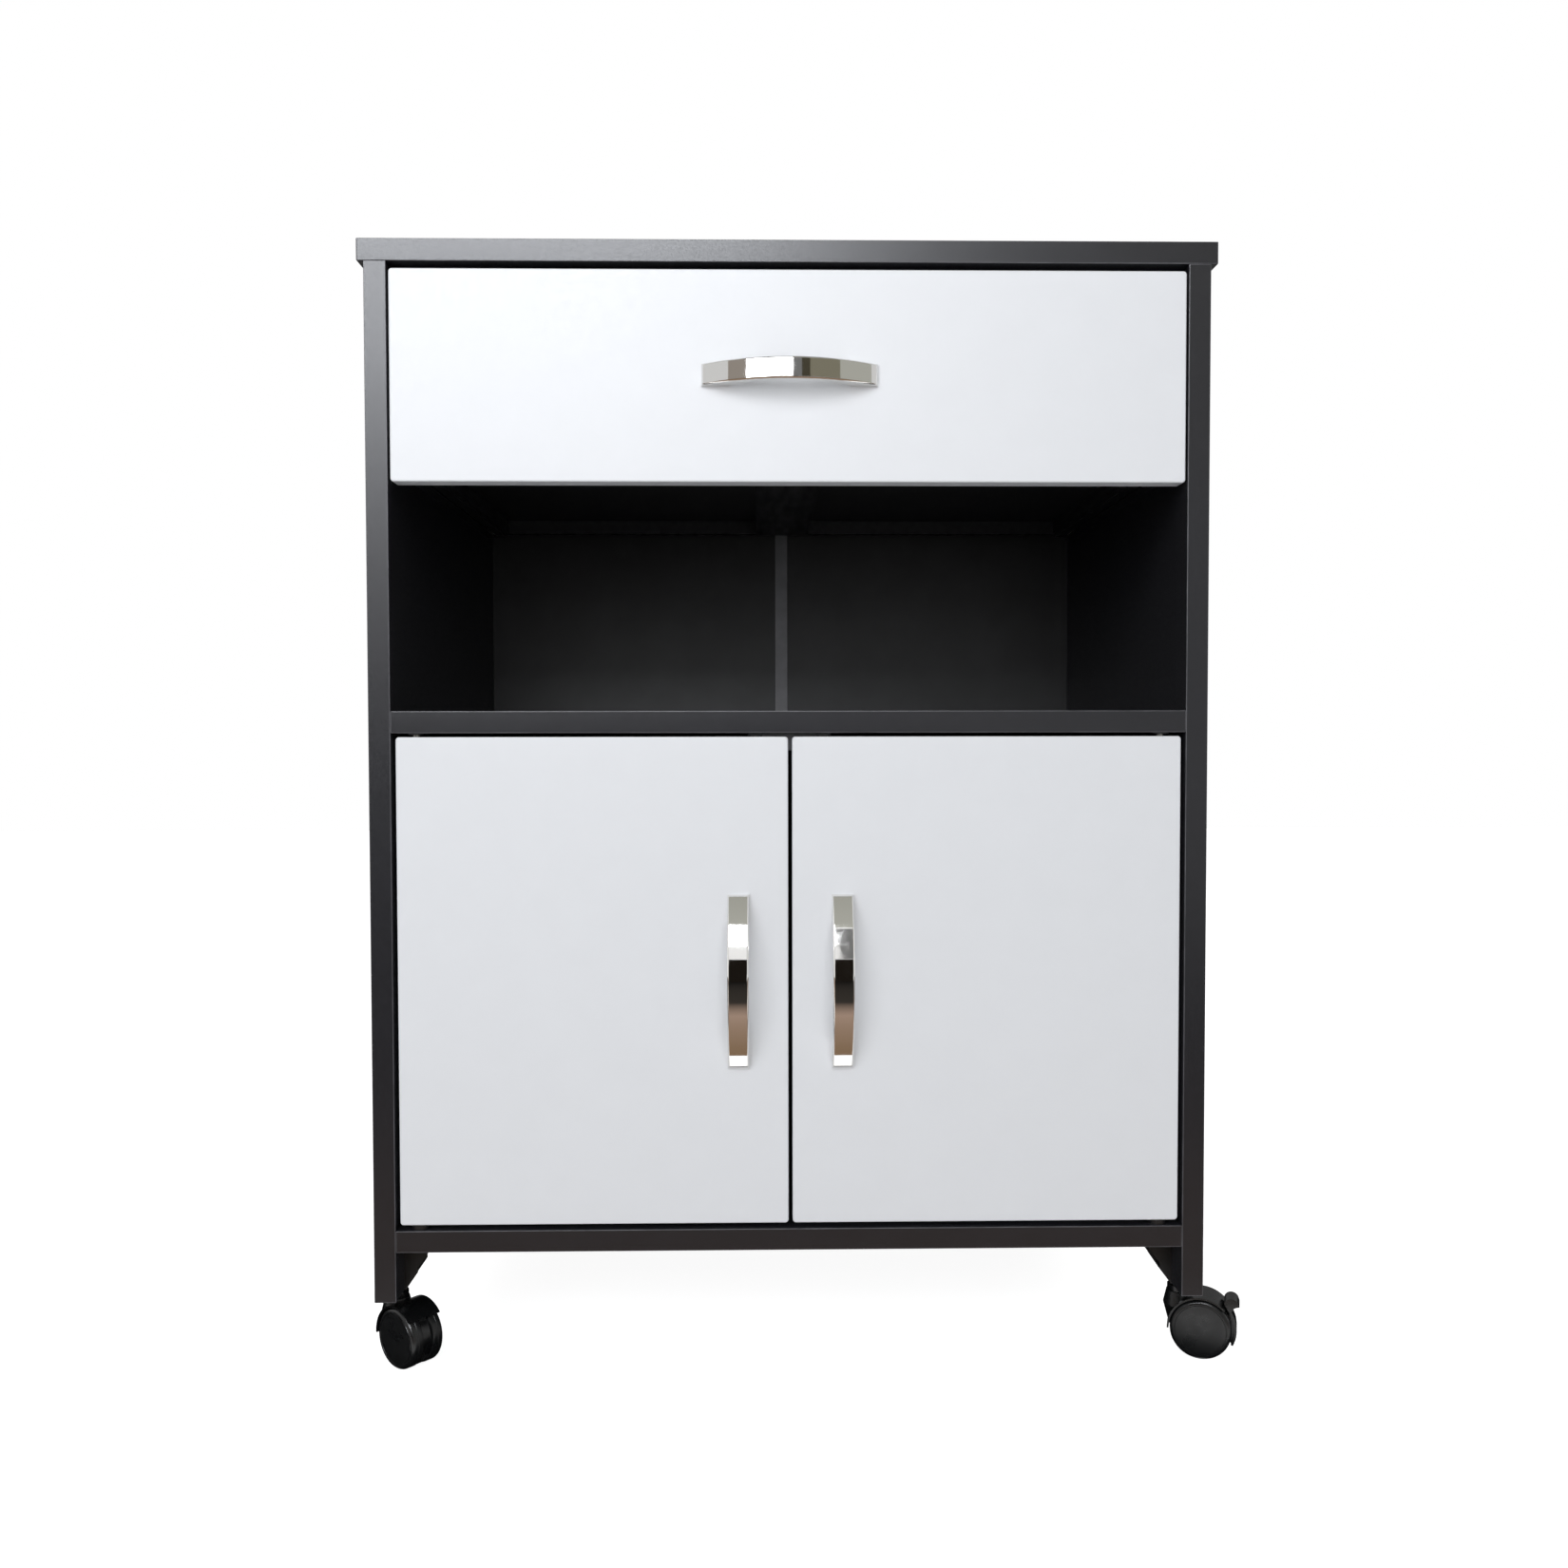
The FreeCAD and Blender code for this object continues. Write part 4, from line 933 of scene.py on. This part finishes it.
# Lamps: name, place, point faced, width and height, watts, tone.
LAMPS = (
    ("window", (-0.7, -2.3, 1.5), (-0.7, 0, 1.5), (2.9, 1.9), 43.0, "#fbfcff"),
    ("back_fill", (1.9, 2.3, 1.7), (0, 0, 0.4), (1.6, 1.6), 22.0, "#fffdf9"),
)
# The floor's glow for the camera, and the world's strength for the light and for the camera.
FLOOR_LIFT, WORLD_LIGHT, WORLD_SEEN = 0.88, 0.3, 1.0
FLOOR_SIZE = 12
# Camera: place in metres, yaw, tilt below level and roll in degrees, lens and sensor in mm.
CAMERA_AT = (-0.0224, -1.2114, 0.468)
CAMERA_YAW, CAMERA_TILT, CAMERA_ROLL = -1.005, 1.861, -0.089
CAMERA_LENS, CAMERA_SENSOR = 32.29, 36.0


def backdrop(name, base):
    """Matt pale paper, lifted to pure white for the camera and for mirrors; it keeps the shadow."""
    material, tree, shader, coords = shader_of(name, base, 0.9)
    tint(tree, shader, between(tree, noise(tree, coords, 60.0), 0.0, 1.0), base, 0.985)
    shader.inputs["Emission Color"].default_value = (1, 1, 1, 1)
    lift = add(tree, "Math", {0: seen_white(tree), 1: FLOOR_LIFT}, operation="MULTIPLY")
    tree.links.new(lift.outputs[0], shader.inputs["Emission Strength"])
    return material


def seen_white(tree):
    """1 for camera, glossy and transmission rays, 0 for the rays that light the stand."""
    path = add(tree, "LightPath").outputs
    first = add(tree, "Math", {0: path["Is Camera Ray"], 1: path["Is Glossy Ray"]}, operation="MAXIMUM")
    return add(tree, "Math", {0: first.outputs[0], 1: path["Is Transmission Ray"]},
               operation="MAXIMUM").outputs[0]


def card(name, place, width, height, shade, far_shade=None, strength=1.0):
    """A card out of the camera's sight, seen only in the chrome and the gloss.

    It is made flat on z = 0, its width along X, and moved by a matrix. With a far shade, it runs
    from the first shade at its nearest place along Y, the greatest one, to the other."""
    bpy.ops.object.select_all(action="DESELECT")
    bpy.ops.mesh.primitive_plane_add(size=1)
    obj = bpy.context.object
    obj.name = obj.data.name = name
    obj.data.transform(place @ Matrix.Diagonal((width, height, 1, 1)))
    material, tree, shader, coords = shader_of(name + "_paper", (0, 0, 0), 1.0)
    shader.inputs["Specular IOR Level"].default_value = 0.0
    # The card glows with its shade as emission: light seen only in the chrome and the gloss, not lit paper.
    shader.inputs["Emission Color"].default_value = (*linear(shade), 1.0)
    shader.inputs["Emission Strength"].default_value = strength
    if far_shade:
        ends = [v.co.y for v in obj.data.vertices]
        along = add(tree, "SeparateXYZ", {"Vector": coords}).outputs["Y"]
        share = between(tree, along, 0.0, 1.0, max(ends), min(ends))
        mix = add(tree, "Mix", {"Factor": share, "A": (*linear(shade), 1.0),
                                "B": (*linear(far_shade), 1.0)}, data_type="RGBA")
        tree.links.new(mix.outputs["Result"], shader.inputs["Emission Color"])
    obj.data.materials.append(material)
    obj.visible_camera = obj.visible_diffuse = obj.visible_shadow = False
    obj.visible_transmission = False


def upright(centre, towards):
    """Matrix of a card that stands at a centre and faces a point."""
    turn = (Vector(towards) - Vector(centre)).to_track_quat("Z", "Y").to_matrix().to_4x4()
    return Matrix.Translation(centre) @ turn


def lamp(name, at, towards, size, power, tone):
    """A soft box aimed at a point; the gloss sees the cards in its stead."""
    data = bpy.data.lights.new(name, "AREA")
    data.shape, data.size, data.size_y = "RECTANGLE", size[0], size[1]
    data.energy, data.color = power, linear(tone)
    obj = bpy.data.objects.new(name, data)
    obj.location = at
    obj.rotation_euler = (Vector(towards) - Vector(at)).to_track_quat("-Z", "Y").to_euler()
    obj.visible_glossy = False
    bpy.context.collection.objects.link(obj)


class STAND_OT_stage(bpy.types.Operator):
    """Lay the pale floor, hang the lamps and the reflector cards and set up the camera"""

    bl_idname = "stand.stage"
    bl_label = "Stage"

    def execute(self, context):
        bpy.ops.object.select_all(action="DESELECT")
        bpy.ops.mesh.primitive_plane_add(size=FLOOR_SIZE)
        floor = bpy.context.object
        floor.name = floor.data.name = "floor"
        floor.data.materials.append(backdrop("paper_white_matt", linear("#f2f2f1")))
        for name, start, stop, low, high, shade in WALLS:
            one, two = (WALL_FROM + WALL_RADIUS * Vector((math.sin(turn), -math.cos(turn), 0))
                        for turn in (math.radians(start), math.radians(stop)))
            rise = Vector((0, 0, (low + high) / 2))
            place = upright((one + two) / 2 + rise, WALL_FROM + rise)
            card(name, place, (two - one).length, high - low, shade)
        for name, height, near, far, shade, far_shade in LEVELS:
            place = Matrix.Translation((0, (near + far) / 2, height))
            card(name, place, LEVEL_WIDTH, near - far, shade, far_shade)
        for name, centre, width, height, shade, strength in UPRIGHTS:
            place = upright(centre, (centre[0], 0, centre[2]))
            card(name, place, width, height, shade, strength=strength)

        world = bpy.context.scene.world or bpy.data.worlds.new("studio")
        bpy.context.scene.world = world
        world.use_nodes = True
        tree = world.node_tree
        tree.nodes.clear()
        dim = add(tree, "Background", {"Color": (1, 1, 1, 1), "Strength": WORLD_LIGHT})
        white = add(tree, "Background", {"Color": (1, 1, 1, 1), "Strength": WORLD_SEEN})
        blend = add(tree, "MixShader", {"Fac": seen_white(tree)})
        tree.links.new(dim.outputs[0], blend.inputs[1])
        tree.links.new(white.outputs[0], blend.inputs[2])
        out = add(tree, "OutputWorld")
        tree.links.new(blend.outputs[0], out.inputs["Surface"])

        for row in LAMPS:
            lamp(*row)

        data = bpy.data.cameras.new("camera")
        data.lens, data.sensor_width, data.sensor_fit = CAMERA_LENS, CAMERA_SENSOR, "HORIZONTAL"
        camera = bpy.data.objects.new("camera", data)
        turn = (Matrix.Rotation(math.radians(CAMERA_YAW), 4, "Z")
                @ Matrix.Rotation(math.radians(90 - CAMERA_TILT), 4, "X")
                @ Matrix.Rotation(math.radians(CAMERA_ROLL), 4, "Z"))
        camera.matrix_world = Matrix.Translation(CAMERA_AT) @ turn
        bpy.context.collection.objects.link(camera)
        bpy.context.scene.camera = camera
        bpy.context.scene.view_settings.view_transform = "Standard"
        return {"FINISHED"}


# ---------------------------------------------------------------- panel and registration
OPERATORS = (STAND_OT_boards, STAND_OT_fronts, STAND_OT_handles, STAND_OT_casters, STAND_OT_screws,
             STAND_OT_fittings, STAND_OT_stage)


class STAND_PT_sidebar(bpy.types.Panel):
    """The stand's sizes, colours and pieces"""

    bl_idname = "STAND_PT_sidebar"
    bl_label = "Microwave stand"
    bl_space_type = "VIEW_3D"
    bl_region_type = "UI"
    bl_category = "Stand"

    def draw(self, context):
        for group in (context.scene.stand_sizes, context.scene.stand_colours):
            for key in group.__annotations__:
                self.layout.prop(group, key)
        for operator in OPERATORS:
            self.layout.operator(operator.bl_idname)


CLASSES = (StandSizes, StandColours) + OPERATORS + (STAND_PT_sidebar,)


def register():
    for one in CLASSES:
        bpy.utils.register_class(one)
    bpy.types.Scene.stand_sizes = bpy.props.PointerProperty(type=StandSizes)
    bpy.types.Scene.stand_colours = bpy.props.PointerProperty(type=StandColours)


def unregister():
    del bpy.types.Scene.stand_colours
    del bpy.types.Scene.stand_sizes
    for one in reversed(CLASSES):
        bpy.utils.unregister_class(one)


def main():
    register()
    bpy.ops.stand.boards()
    bpy.ops.stand.fronts()
    bpy.ops.stand.handles()
    bpy.ops.stand.casters()
    bpy.ops.stand.screws()
    bpy.ops.stand.fittings()
    bpy.ops.stand.stage()


if __name__ == "__main__":
    main()
